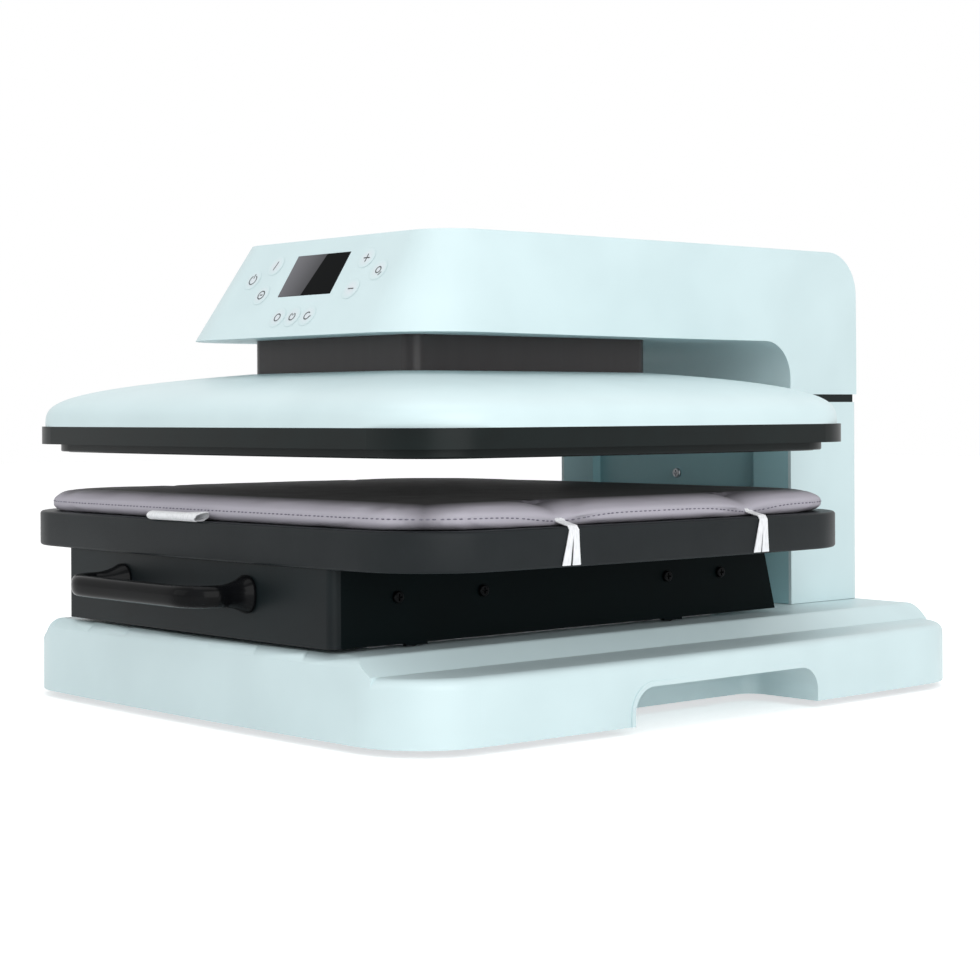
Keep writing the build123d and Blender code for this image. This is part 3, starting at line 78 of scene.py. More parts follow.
class PressLooks(bpy.types.PropertyGroup):
    """Sizes and colours of the press that a user would change."""

    shell_colour: StringProperty(name="Shell", description="Moulded shells", default="#CFE3E6")
    frame_colour: StringProperty(name="Frame", description="Frame of the lid", default="#0A1212")
    sleeve_colour: StringProperty(name="Sleeve", description="Sleeve of the lid", default="#2B2728")
    table_colour: StringProperty(name="Table", description="Paint of the table", default="#1F2325")
    # painted shade: the drawer's sides take the front's paint made near-black for the shade under
    # the table
    drawer_side_shade_colour: StringProperty(name="Drawer", description="Drawer's sides", default="#070F10")
    front_colour: StringProperty(name="Drawer front", description="Its paint", default="#161C1E")
    pull_colour: StringProperty(name="Pull", description="Glossy pull", default="#0A0B0C")
    # painted shade: the column's front is the shell's plastic, tinted a darker teal for the shade
    # under the arm
    recess_shade_colour: StringProperty(name="Recess", description="Column's front", default="#A3CFD5")
    cloth_colour: StringProperty(name="Pad cover", description="Pad's rim", default="#B3B0BA")
    # painted shade: the pad's top is the rim's cloth, darkened for the shade of the lid above it
    pad_top_shade_colour: StringProperty(name="Pad top", description="Pad's top cloth", default="#0E0E10")
    tape_colour: StringProperty(name="Tape", description="Elastic and tag", default="#EDEFF2")
    mark_colour: StringProperty(name="Marks", description="Printed signs", default="#3A4143")
    key_colour: StringProperty(name="Keys", description="Spots of the keys", default="#D9E1E6")
    crown_power: FloatProperty(name="Crown", description="How soon the lid flattens", default=3.57)
    crown_rings: IntProperty(name="Rings", description="Rings of the lid's crown", default=26)
    shell_wall: FloatProperty(name="Wall", description="Wall of the lid's cover",
                              default=2.5 * MM, unit="LENGTH")
    pad_swell: FloatProperty(name="Swell", description="Furthest that the pad puffs out",
                             default=2.6 * MM, unit="LENGTH")
    stitch_length: FloatProperty(name="Stitch", description="Length of one stitch",
                                 default=2.6 * MM, unit="LENGTH")
    light_level: FloatProperty(name="Light", description="Strength of the room's light",
                               default=0.62)


def looks():
    """The settings of this scene."""
    return bpy.context.scene.press_looks


@lru_cache(maxsize=None)
def box(node):
    """Lowest and highest corners of a CAD node, measured once."""
    low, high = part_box(node)
    return tuple(low), tuple(high)


# Colours and materials

def to_linear(code):
    """Linear colour of an sRGB hex value."""
    shares = [int(code[place:place + 2], 16) / 255 for place in (1, 3, 5)]
    curve = [s / 12.92 if s <= 0.04045 else ((s + 0.055) / 1.055) ** 2.4 for s in shares]
    return (*curve, 1.0)


def add_node(tree, kind, inputs=None, **settings):
    """Adds a node, sets its properties, and sets or links its inputs."""
    made = tree.nodes.new(kind)
    for name, value in settings.items():
        setattr(made, name, value)
    for name, value in (inputs or {}).items():
        if isinstance(value, bpy.types.NodeSocket):
            tree.links.new(value, made.inputs[name])
        else:
            made.inputs[name].default_value = value
    return made


def new_material(name, **sockets):
    """Material with one Principled shader, and its tree and shader."""
    material = bpy.data.materials.new(name)
    material.use_nodes = True
    shader = material.node_tree.nodes["Principled BSDF"]
    for socket, value in sockets.items():
        shader.inputs[socket.replace("_", " ")].default_value = value
    return material, material.node_tree, shader


def grain(tree, size, detail=3.0, kind="ShaderNodeTexNoise", stretch=(1, 1, 1)):
    """Noise whose grains are about as large as size, in metres, on the piece itself."""
    place = add_node(tree, "ShaderNodeTexCoord")
    mapping = add_node(tree, "ShaderNodeMapping",
                       {"Vector": place.outputs["Object"], "Scale": stretch})
    inputs = {"Vector": mapping.outputs["Vector"], "Scale": 1 / size}
    if kind == "ShaderNodeTexNoise":
        inputs["Detail"] = detail
    return add_node(tree, kind, inputs)


def vary(tree, shader, socket, signal, low, high):
    """Drives a shader socket between two values by a pattern."""
    spread = add_node(tree, "ShaderNodeMapRange",
                      {"Value": signal, "To Min": low, "To Max": high})
    tree.links.new(spread.outputs["Result"], shader.inputs[socket])


def relief(tree, shader, signal, height, strength=1.0):
    """Raises the surface by a pattern, height in metres."""
    bump = add_node(tree, "ShaderNodeBump",
                    {"Height": signal, "Distance": height, "Strength": strength})
    tree.links.new(bump.outputs["Normal"], shader.inputs["Normal"])


def blend_colours(tree, shader, signal, low, high, begin=0.35, end=0.65):
    """Colours a surface between two tints by a pattern."""
    spread = add_node(tree, "ShaderNodeMapRange",
                      {"Value": signal, "From Min": begin, "From Max": end})
    mix = add_node(tree, "ShaderNodeMix",
                   {"Factor": spread.outputs["Result"]}, data_type="RGBA")
    mix.inputs[6].default_value = to_linear(low)
    mix.inputs[7].default_value = to_linear(high)
    tree.links.new(mix.outputs[2], shader.inputs["Base Color"])
    return mix


def shade(code, factor):
    """Hex colour made lighter or darker by a factor."""
    parts = [min(255, round(int(code[place:place + 2], 16) * factor)) for place in (1, 3, 5)]
    return "#" + "".join(f"{part:02X}" for part in parts)


def moulded_abs(name, tint):
    """Injection-moulded ABS with a fine spark-eroded grain: satin, hardly any tint change."""
    material, tree, shader = new_material(name, Roughness=0.4, IOR=1.53)
    cloud = grain(tree, 60 * MM, detail=2.0)
    blend_colours(tree, shader, cloud.outputs["Fac"], shade(tint, 0.985), shade(tint, 1.01))
    fine = grain(tree, 0.8 * MM)
    vary(tree, shader, "Roughness", fine.outputs["Fac"], 0.34, 0.46)
    relief(tree, shader, fine.outputs["Fac"], 0.012 * MM)
    return material


def black_abs():
    """Black moulded plastic around the hot plate, satin, with faint flow marks."""
    material, tree, shader = new_material("black_abs", Specular_IOR_Level=0.16)
    tint = looks().frame_colour
    cloud = grain(tree, 25 * MM)
    blend_colours(tree, shader, cloud.outputs["Fac"], tint, shade(tint, 1.25))
    vary(tree, shader, "Roughness", cloud.outputs["Fac"], 0.3, 0.42)
    fine = grain(tree, 0.8 * MM)
    relief(tree, shader, fine.outputs["Fac"], 0.01 * MM)
    return material


def dark_sleeve():
    """Smooth dark plastic that slides in the head, polished along its height."""
    material, tree, shader = new_material("dark_sleeve", Specular_IOR_Level=0.3)
    tint = looks().sleeve_colour
    rub = grain(tree, 9 * MM, stretch=(1, 1, 0.06))
    blend_colours(tree, shader, rub.outputs["Fac"], shade(tint, 0.97), shade(tint, 1.04))
    vary(tree, shader, "Roughness", rub.outputs["Fac"], 0.3, 0.36)
    return material


def powder_coat(name, tint, rough_low, rough_high, bead=0.9, gloss=0.35):
    """Powder-coated sheet: a fine orange peel that breaks up its reflections."""
    material, tree, shader = new_material(name, Specular_IOR_Level=gloss)
    peel = grain(tree, bead * MM, detail=1.5)
    cloud = grain(tree, 40 * MM)
    blend_colours(tree, shader, cloud.outputs["Fac"], shade(tint, 0.94), shade(tint, 1.06))
    vary(tree, shader, "Roughness", peel.outputs["Fac"], rough_low, rough_high)
    relief(tree, shader, peel.outputs["Fac"], 0.03 * MM)
    return material


def glossy_black():
    """Polished black acrylic-coated plastic of the pull."""
    material, tree, shader = new_material("glossy_black", Specular_IOR_Level=0.04,
                                          Coat_Weight=0.08, Coat_Roughness=0.08)
    wipe = grain(tree, 12 * MM)
    tint = looks().pull_colour
    blend_colours(tree, shader, wipe.outputs["Fac"], tint, shade(tint, 1.3))
    vary(tree, shader, "Roughness", wipe.outputs["Fac"], 0.16, 0.26)
    return material


def weave_pattern(tree, thread):
    """Height of a plain weave on the piece itself, its threads that far apart in metres."""
    place = add_node(tree, "ShaderNodeTexCoord")
    scale = 1 / thread / WAVE_LENGTH
    waves = [add_node(tree, "ShaderNodeTexWave",
                      {"Vector": place.outputs["Object"], "Scale": scale},
                      bands_direction=direction) for direction in ("X", "Y")]
    return add_node(tree, "ShaderNodeMath", {0: waves[0].outputs["Fac"],
                                             1: waves[1].outputs["Fac"]}, operation="MULTIPLY")


def pad_cloth():
    """Silver-coated aramid cloth: a tight weave, darker where it lies flat on top, as painted shade
    of the lid above.
    """
    material, tree, shader = new_material("pad_cloth", Specular_IOR_Level=0.1,
                                          Sheen_Weight=0.04, Sheen_Roughness=0.4)
    rim = add_node(tree, "ShaderNodeAttribute", attribute_name="rim")
    soft = grain(tree, 18 * MM)
    # painted shade: dark on the top under the lid, the pale cloth towards the rim
    blend_colours(tree, shader, rim.outputs["Fac"], looks().pad_top_shade_colour,
                  looks().cloth_colour, begin=0.0, end=1.0)
    vary(tree, shader, "Roughness", soft.outputs["Fac"], 0.5, 0.66)
    # threads are about 0.4 mm apart, drawn at 1.2 mm so that they show
    weave = weave_pattern(tree, 1.2 * MM)
    relief(tree, shader, weave.outputs["Value"], 0.05 * MM, 0.6)
    return material


def white_tape():
    """Woven white elastic: ribs along its length and a soft sheen."""
    material, tree, shader = new_material("white_tape", IOR=1.5, Sheen_Weight=0.3)
    ribs = grain(tree, 1.2 * MM, kind="ShaderNodeTexVoronoi", stretch=(1, 1, 0.25))
    tint = looks().tape_colour
    blend_colours(tree, shader, ribs.outputs["Distance"], shade(tint, 0.93), tint, 0.1, 0.6)
    vary(tree, shader, "Roughness", ribs.outputs["Distance"], 0.6, 0.8)
    relief(tree, shader, ribs.outputs["Distance"], 0.05 * MM)
    return material


def sewing_thread():
    """Grey polyester thread, twisted."""
    material, tree, shader = new_material("sewing_thread", Roughness=0.6)
    twist = grain(tree, 0.7 * MM)
    blend_colours(tree, shader, twist.outputs["Fac"], "#5A5966", "#7C7A88")
    return material


def rubber(name="moulded_rubber"):
    """Moulded black rubber, matt and faintly dusty."""
    material, tree, shader = new_material(name, IOR=1.52)
    dust = grain(tree, 3 * MM)
    blend_colours(tree, shader, dust.outputs["Fac"], "#121212", "#1E1E1D")
    vary(tree, shader, "Roughness", dust.outputs["Fac"], 0.7, 0.9)
    return material


def metal(name, low, high, rough_low, rough_high, size, stretch=(1, 1, 1)):
    """Bare or plated metal with a surface worked in one direction."""
    material, tree, shader = new_material(name, Metallic=1.0)
    lines = grain(tree, size, stretch=stretch)
    blend_colours(tree, shader, lines.outputs["Fac"], low, high)
    vary(tree, shader, "Roughness", lines.outputs["Fac"], rough_low, rough_high)
    relief(tree, shader, lines.outputs["Fac"], 0.01 * MM)
    return material


def nonstick_coat():
    """Sprayed non-stick coat on the hot plate: dark, speckled, slightly slick."""
    material, tree, shader = new_material("nonstick_coat", IOR=1.38, Coat_Weight=0.2)
    speck = grain(tree, 1.0 * MM, kind="ShaderNodeTexVoronoi")
    blend_colours(tree, shader, speck.outputs["Distance"], "#1C1C1D", "#0E0F10", 0.05, 0.5)
    vary(tree, shader, "Roughness", speck.outputs["Distance"], 0.32, 0.48)
    return material


def felt():
    """White ceramic-fibre felt, matt with short fibres."""
    material, tree, shader = new_material("fibre_felt", Sheen_Weight=0.4)
    fibres = grain(tree, 2 * MM, detail=8.0)
    blend_colours(tree, shader, fibres.outputs["Fac"], "#D3CFC4", "#EFECE4")
    vary(tree, shader, "Roughness", fibres.outputs["Fac"], 0.85, 1.0)
    relief(tree, shader, fibres.outputs["Fac"], 0.3 * MM)
    return material


def acetal():
    """Machined white acetal, waxy."""
    material, tree, shader = new_material("white_acetal", IOR=1.48, Subsurface_Weight=0.1)
    cuts = grain(tree, 3 * MM)
    blend_colours(tree, shader, cuts.outputs["Fac"], "#E2DFD2", "#F0EEE4")
    vary(tree, shader, "Roughness", cuts.outputs["Fac"], 0.3, 0.45)
    return material


def circuit_board():
    """Green solder mask over copper tracks."""
    material, tree, shader = new_material("circuit_board", IOR=1.5, Coat_Weight=0.3)
    tracks = grain(tree, 4 * MM, kind="ShaderNodeTexVoronoi")
    blend_colours(tree, shader, tracks.outputs["Distance"], "#1F6A3C", "#0C3D22", 0.2, 0.3)
    vary(tree, shader, "Roughness", tracks.outputs["Distance"], 0.25, 0.4)
    return material


def display_film():
    """Black display glass with a painted reflection: its left half is painted a paler grey tone."""
    material, tree, shader = new_material("display_film", Roughness=0.08, Specular_IOR_Level=0.02)
    low, high = box("display_glass")
    middle = (Vector(low) + Vector(high)) / 2
    place = add_node(tree, "ShaderNodeTexCoord")
    centred = add_node(tree, "ShaderNodeMapping",
                       {"Vector": place.outputs["Object"], "Location": -middle})
    parts = add_node(tree, "ShaderNodeSeparateXYZ", {"Vector": centred.outputs["Vector"]})
    lean = 3.3 / 13.0           # the painted reflection's edge runs slightly askew
    askew = add_node(tree, "ShaderNodeMath", {0: parts.outputs["Z"], 1: lean},
                     operation="MULTIPLY")
    across = add_node(tree, "ShaderNodeMath", {0: parts.outputs["X"], 1: askew.outputs[0]},
                      operation="SUBTRACT")
    edge = add_node(tree, "ShaderNodeMapRange", {"Value": across.outputs[0],
                                                 "From Min": -0.3 * MM, "From Max": 0.3 * MM,
                                                 "To Min": 1.0, "To Max": 0.0})
    fade = add_node(tree, "ShaderNodeMapRange", {"Value": across.outputs[0],
                                                 "From Min": -27 * MM, "From Max": 0.0,
                                                 "To Min": 1.0, "To Max": 0.45})
    share = add_node(tree, "ShaderNodeMath", {0: edge.outputs[0], 1: fade.outputs[0]},
                     operation="MULTIPLY")
    # painted reflection: grey fading in from the left up to the askew edge, black beyond it
    blend_colours(tree, shader, share.outputs[0], "#040607", "#737377", 0.0, 1.0)
    return material


def key_spot():
    """Pale spot printed behind each touch key, fading into the shell."""
    material, tree, shader = new_material("key_spot", IOR=1.53, Roughness=0.38)
    place = add_node(tree, "ShaderNodeTexCoord")
    centred = add_node(tree, "ShaderNodeMapping",
                       {"Vector": place.outputs["UV"], "Location": (-0.5, -0.5, 0)})
    reach = add_node(tree, "ShaderNodeVectorMath", {0: centred.outputs["Vector"]},
                     operation="LENGTH")
    blend_colours(tree, shader, reach.outputs["Value"], looks().key_colour,
                  looks().shell_colour, 0.1, 0.47)
    return material


def printed_mark():
    """Screen-printed ink, matt."""
    material, tree, shader = new_material("printed_mark", Roughness=0.55)
    ink = grain(tree, 0.6 * MM)
    tint = looks().mark_colour
    blend_colours(tree, shader, ink.outputs["Fac"], tint, shade(tint, 1.2))
    return material


def dress(material, *nodes):
    """Gives CAD nodes a material."""
    for name in nodes:
        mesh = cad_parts[name].data
        mesh.materials.clear()
        mesh.materials.append(material)


# Modelling helpers

def clear_selection():
    """Object mode with nothing selected."""
    if bpy.context.object and bpy.context.object.mode != "OBJECT":
        bpy.ops.object.mode_set(mode="OBJECT")
    bpy.ops.object.select_all(action="DESELECT")


def activate(piece):
    """Makes a piece the only one selected, and active."""
    clear_selection()
    piece.select_set(True)
    bpy.context.view_layer.objects.active = piece


def pick(kind, test):
    """Selects, in edit mode, the elements of one kind that pass a test."""
    bpy.ops.mesh.select_mode(type={"verts": "VERT", "edges": "EDGE", "faces": "FACE"}[kind])
    bpy.ops.mesh.select_all(action="DESELECT")
    work = bmesh.from_edit_mesh(bpy.context.object.data)
    for element in getattr(work, kind):
        element.select = test(element)
    work.select_flush_mode()
    bmesh.update_edit_mesh(bpy.context.object.data)


def extrude(move, size=(1, 1, 1), centre=None):
    """Extrudes what is selected, moves it, and scales the new end about a centre."""
    bpy.ops.mesh.extrude_region_move(TRANSFORM_OT_translate={"value": move})
    if size != (1, 1, 1):
        bpy.ops.transform.resize(value=size, center_override=centre)


def apply_modifier(piece, kind, **settings):
    """Adds a modifier and applies it."""
    activate(piece)
    made = piece.modifiers.new(kind.title(), kind)
    for name, value in settings.items():
        setattr(made, name, value)
    bpy.ops.object.modifier_apply(modifier=made.name)


def join_all(parts):
    """Joins a list of objects into one."""
    clear_selection()
    for part in parts:
        part.select_set(True)
    bpy.context.view_layer.objects.active = parts[0]
    bpy.ops.object.join()
    return bpy.context.object


def close_up(piece, name, material, body, slot, *replaced, smooth=35):
    """Last steps of a piece: name, material, shading, body, and what it stands for."""
    activate(piece)
    bpy.ops.object.transform_apply(location=True, rotation=True, scale=True)
    bpy.ops.object.shade_smooth_by_angle(angle=math.radians(smooth))
    piece.name = name
    piece.data.name = name
    piece.data.materials.clear()
    piece.data.materials.append(material)
    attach(piece, body)
    if replaced:
        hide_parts(*replaced)
    return piece


# Pieces

def bowed_plate(low, high, level, side_bow, end_bow, corner):
    """Flat rounded rectangle whose sides swell outwards, made from a plane."""
    clear_selection()
    middle = ((low[0] + high[0]) / 2, (low[1] + high[1]) / 2)
    bpy.ops.mesh.primitive_plane_add(size=1, location=(*middle, level))
    piece = bpy.context.object
    half = ((high[0] - low[0]) / 2 - side_bow, (high[1] - low[1]) / 2 - end_bow)
    piece.scale = (2 * half[0], 2 * half[1], 1)
    bpy.ops.object.transform_apply(location=True, rotation=True, scale=True)
    bpy.ops.object.mode_set(mode="EDIT")
    bpy.ops.mesh.select_all(action="SELECT")
    bpy.ops.mesh.bevel(offset=corner, segments=12, profile=0.5, affect="VERTICES")
    bpy.ops.mesh.delete(type="ONLY_FACE")
    pick("edges", lambda edge: edge.calc_length() > corner / 2)
    bpy.ops.mesh.subdivide(number_cuts=15)
    bpy.ops.mesh.select_all(action="SELECT")
    bpy.ops.mesh.edge_face_add()
    bpy.ops.object.mode_set(mode="OBJECT")
    for vertex in piece.data.vertices:
        across = (vertex.co.x - middle[0]) / half[0]
        along = (vertex.co.y - middle[1]) / half[1]
        vertex.co.x += side_bow * across * (1 - along ** 2)
        vertex.co.y += end_bow * along * (1 - across ** 2)
    return piece


def lid_piece():
    """Crowned cover of the lid: rings that rise from the rim to the sleeve's opening."""
    look = looks()
    low, high = box("lid_cover")
    sleeve_low, sleeve_high = box("neck_sleeve")
    margin = 10 * MM            # flat strip around the sleeve's opening
    gap = 0.3 * MM
    opening_depth = 3 * MM
    height = high[2] - low[2]
    piece = bowed_plate(low, high, low[2], LID_BOW, LID_BOW, LID_CORNER)
    rim = (high[0] - low[0], high[1] - low[1])
    top = (sleeve_high[0] - sleeve_low[0] + 2 * margin, sleeve_high[1] - sleeve_low[1] + 2 * margin)
    rim_y = (low[1] + high[1]) / 2
    top_y = (sleeve_low[1] + sleeve_high[1]) / 2
    activate(piece)
    bpy.ops.object.mode_set(mode="EDIT")
    bpy.ops.mesh.select_all(action="SELECT")
    before = (rim[0], rim[1], rim_y, 0.0)
    for ring in range(1, look.crown_rings + 1):
        rise = ring / look.crown_rings
        share = rise ** look.crown_power
        width = rim[0] + share * (top[0] - rim[0])
        depth = rim[1] + share * (top[1] - rim[1])
        middle = rim_y + share * (top_y - rim_y)
        extrude((0, middle - before[2], height * (rise - before[3])),
                (width / before[0], depth / before[1], 1), (0, middle, low[2] + rise * height))
        before = (width, depth, middle, rise)
    opening = (sleeve_high[0] - sleeve_low[0] + 2 * gap, sleeve_high[1] - sleeve_low[1] + 2 * gap)
    extrude((0, 0, 0), (opening[0] / top[0], opening[1] / top[1], 1), (0, top_y, high[2]))
    extrude((0, 0, -opening_depth))
    bpy.ops.mesh.delete(type="FACE")
    pick("faces", lambda face: len(face.verts) > 4 and face.calc_center_median().z < low[2] + MM)
    bpy.ops.mesh.delete(type="FACE")
    bpy.ops.mesh.select_all(action="SELECT")
    bpy.ops.mesh.normals_make_consistent(inside=False)
    bpy.ops.object.mode_set(mode="OBJECT")
    apply_modifier(piece, "SOLIDIFY", thickness=look.shell_wall, offset=-1)
    return piece


def table_piece():
    """Shallow tray of the table: a rounded rim around a flat top, open below."""
    low, high = box("table_tray")
    rim_round = 1.8 * MM
    foot_round = 1.6 * MM
    piece = bowed_plate(low, high, low[2], TABLE_BOW, TABLE_BOW, TABLE_CORNER)
    activate(piece)
    bpy.ops.object.mode_set(mode="EDIT")
    bpy.ops.mesh.select_all(action="SELECT")
    extrude((0, 0, high[2] - low[2]))
    pick("faces", lambda face: abs(face.calc_center_median().z - low[2]) < MM / 10)
    bpy.ops.mesh.delete(type="ONLY_FACE")
    bpy.ops.mesh.select_all(action="SELECT")
    bpy.ops.mesh.normals_make_consistent(inside=False)
    pick("edges", lambda edge: all(abs(v.co.z - high[2]) < MM / 10 for v in edge.verts))
    bpy.ops.mesh.bevel(offset=rim_round, segments=4)
    bpy.ops.object.mode_set(mode="OBJECT")
    apply_modifier(piece, "SOLIDIFY", thickness=TABLE_WALL, offset=-1)
    bpy.ops.object.mode_set(mode="EDIT")
    pick("edges", lambda edge: all(v.co.z < low[2] + MM / 10 for v in edge.verts)
         and len(edge.link_faces) == 2 and edge.calc_face_angle(0) > 1)
    bpy.ops.mesh.bevel(offset=foot_round, segments=4)
    bpy.ops.object.mode_set(mode="OBJECT")
    return piece


def table_edge(y):
    """Half-width of the table at one place along it."""
    low, high = box("table_tray")
    middle = (low[1] + high[1]) / 2
    share = (y - middle) / ((high[1] - low[1]) / 2)
    return high[0] - TABLE_BOW * share ** 2


def near_tie(y, reach):
    """How near a place along the table is to one of the ties, from 0 to 1."""
    low, high = box("table_tray")
    middle = (low[1] + high[1]) / 2
    return sum(math.exp(-((y - middle - place) / reach) ** 2) for place in TIE_PLACES)


def on_side(x, y):
    """True on the two sides of the pad that carry ties, between its corners."""
    low, high = box("press_pad")
    return abs(x) > high[0] - 26 * MM and low[1] + PAD_CORNER < y < high[1] - PAD_CORNER


def seam_level(x, y):
    """Height of the sewn seam around the pad: low where a tie pulls it down."""
    foot = box("press_pad")[0][2]
    pull = near_tie(y, 26 * MM) if on_side(x, y) else 0
    free_level = 6.0 * MM
    pulled_down = 3.4 * MM
    return foot + free_level - pulled_down * min(1, pull)


def puff(piece, most):
    """Lets air pressure swell the cloth, moving no point further than a limit."""
    before = [vertex.co.copy() for vertex in piece.data.vertices]
    activate(piece)
    cloth = piece.modifiers.new("Cloth", "CLOTH")
    cloth.settings.use_pressure = True
    cloth.settings.uniform_pressure_force = 4
    cloth.settings.effector_weights.gravity = 0
    cloth.settings.quality = 4
    cloth.point_cache.frame_start = 1
    cloth.point_cache.frame_end = 20
    for step in range(1, cloth.point_cache.frame_end + 1):
        bpy.context.scene.frame_set(step)
    bpy.ops.object.modifier_apply(modifier=cloth.name)
    bpy.context.scene.frame_set(1)
    for vertex, start in zip(piece.data.vertices, before):
        move = vertex.co - start
        if move.length > most:
            vertex.co = start + move * (most / move.length)


def pad_piece():
    """Press pad: a flat cushion with a puffed rim, pulled in and creased at its ties."""
    look = looks()
    low, high = box("press_pad")
    rim_pale = 9 * MM           # pale as far in as this, then fading to the painted shade of the top
    rim_fade = 22 * MM
    wall_height = 6 * MM
    tie_dip = 2.3 * MM          # how far a tie pulls the rim down, and in
    tie_pinch = 1.6 * MM
    fold_length = 75 * MM       # crease that runs inwards from each tie
    fold_depth = 0.9 * MM
    seam_depth = 0.9 * MM
    seam_width = 1.3 * MM
    piece = bowed_plate(low, high, low[2], TABLE_BOW, TABLE_BOW, PAD_CORNER)
    middle = (0, (low[1] + high[1]) / 2, low[2])
    size = (high[0] - low[0], high[1] - low[1])
    activate(piece)
    bpy.ops.object.mode_set(mode="EDIT")
    bpy.ops.mesh.select_all(action="SELECT")
    # rise and inset of each ring from the foot to the flat top, in millimetres
    rings = ((2.2, -1.6), (3.6, -0.9), (3.2, 1.2), (1.6, 3.4), (0.5, 14.0), (0.3, 60.0))
    for rise, inset in rings:
        shrink = (1 - 2 * inset * MM / size[0], 1 - 2 * inset * MM / size[1], 1)
        extrude((0, 0, rise * MM), shrink, middle)
    bpy.ops.mesh.select_all(action="SELECT")
    bpy.ops.mesh.normals_make_consistent(inside=False)
    bpy.ops.object.mode_set(mode="OBJECT")
    apply_modifier(piece, "REMESH", mode="VOXEL", voxel_size=4 * MM)
    puff(piece, look.pad_swell)
    apply_modifier(piece, "SUBSURF", levels=1, render_levels=1)
    # rim is 1 at the pad's edge and 0 on the top, which carries the painted shade
    rim = piece.data.attributes.new("rim", "FLOAT", "POINT")
    for vertex in piece.data.vertices:
        place = vertex.co
        height = place.z - low[2]
        inward = min(high[0] - abs(place.x), place.y - low[1], high[1] - place.y)
        rim.data[vertex.index].value = 1 - min(1, max(0, (inward - rim_pale) / rim_fade))
        if on_side(place.x, place.y):
            side = math.copysign(1, place.x)
            lift = min(1, height / wall_height)
            place.z -= tie_dip * near_tie(place.y, 12 * MM) * lift
            place.x -= side * tie_pinch * near_tie(place.y, 9 * MM)
        if abs(place.x) > high[0] - fold_length and height > wall_height:
            fold = (abs(place.x) - high[0] + fold_length) / fold_length
            place.z -= fold_depth * near_tie(place.y, 3.5 * MM) * fold
        beside = abs(place.z - seam_level(place.x, place.y))
        if inward < 12 * MM and height < 11 * MM:
            place -= vertex.normal * seam_depth * math.exp(-(beside / seam_width) ** 2)
        place.z = max(place.z, low[2])
    return piece


def pad_surface(pad):
    """Search tree of the finished pad."""
    return BVHTree.FromPolygons([vertex.co for vertex in pad.data.vertices],
                                [tuple(face.vertices) for face in pad.data.polygons])


def side_point(surface, angle, level):
    """Point and normal of the pad's rim in one direction and at one height."""
    low, high = box("press_pad")
    middle = Vector((0, (low[1] + high[1]) / 2, level))
    out = Vector((math.cos(angle), math.sin(angle), 0))
    point, normal, _, _ = surface.ray_cast(middle + out, -out)
    if point is None:
        raise RuntimeError("the pad's rim has a hole")
    return point, normal


def stitch_piece(surface):
    """Row of stitches sewn around the pad's rim, each a short rounded thread."""
    look = looks()
    foot = box("press_pad")[0][2]
    directions = 1400
    first_guess = 4 * MM        # height at which the rim is first looked for
    path = []
    for step in range(directions):
        angle = step * 2 * math.pi / directions
        point, _ = side_point(surface, angle, foot + first_guess)
        path.append(side_point(surface, angle, seam_level(point.x, point.y)))
    clear_selection()
    bpy.ops.mesh.primitive_uv_sphere_add(segments=8, ring_count=5, radius=1)
    piece = bpy.context.object
    single = piece.data.copy()
    joined = bmesh.new()
    pitch = look.stitch_length * 1.45       # a stitch and the gap after it
    stitch_width, stitch_depth = 0.42 * MM, 0.36 * MM
    walked = 0
    for (start, normal), (end, _) in zip(path, path[1:] + path[:1]):
        walked += (end - start).length
        if walked < pitch:
            continue
        walked -= pitch
        along = (end - start).normalized()
        up = normal.cross(along).normalized()
        turn = Matrix((along, up, normal)).transposed().to_4x4()
        stretch = Matrix.Diagonal((look.stitch_length / 2, stitch_width, stitch_depth, 1))
        begin = len(joined.verts)
        joined.from_mesh(single)
        joined.verts.ensure_lookup_table()
        bmesh.ops.transform(joined, matrix=Matrix.Translation(start) @ turn @ stretch,
                            verts=joined.verts[begin:])
    joined.to_mesh(piece.data)
    joined.free()
    bpy.data.meshes.remove(single)
    return piece


def strip_piece(points, widths, thickness):
    """Flat tape through a row of points: extruded edge by edge, then given its thickness."""
    clear_selection()
    half = widths[0] / 2
    bpy.ops.mesh.primitive_plane_add(size=1)
    piece = bpy.context.object
    bpy.ops.object.mode_set(mode="EDIT")
    work = bmesh.from_edit_mesh(piece.data)
    corners = ((points[0], -1), (points[1], -1), (points[1], 1), (points[0], 1))
    for vertex, (centre, side) in zip(sorted(work.verts, key=lambda v: (v.co.x, v.co.y)),
                                      (corners[0], corners[3], corners[1], corners[2])):
        vertex.co = centre + Vector((0, side * half, 0))
    bmesh.update_edit_mesh(piece.data)
    for before, centre, width in zip(points[1:], points[2:], widths[2:]):
        pick("edges", lambda edge: all((v.co - before).length < half * 1.6 and
                                       abs(v.co.z - before.z) + abs(v.co.x - before.x) < MM / 100
                                       for v in edge.verts))
        extrude(centre - before, (1, width / widths[0], 1), centre)
    bpy.ops.object.mode_set(mode="OBJECT")
    apply_modifier(piece, "SOLIDIFY", thickness=thickness, offset=0)
    apply_modifier(piece, "BEVEL", width=thickness / 3, segments=2)
    return piece


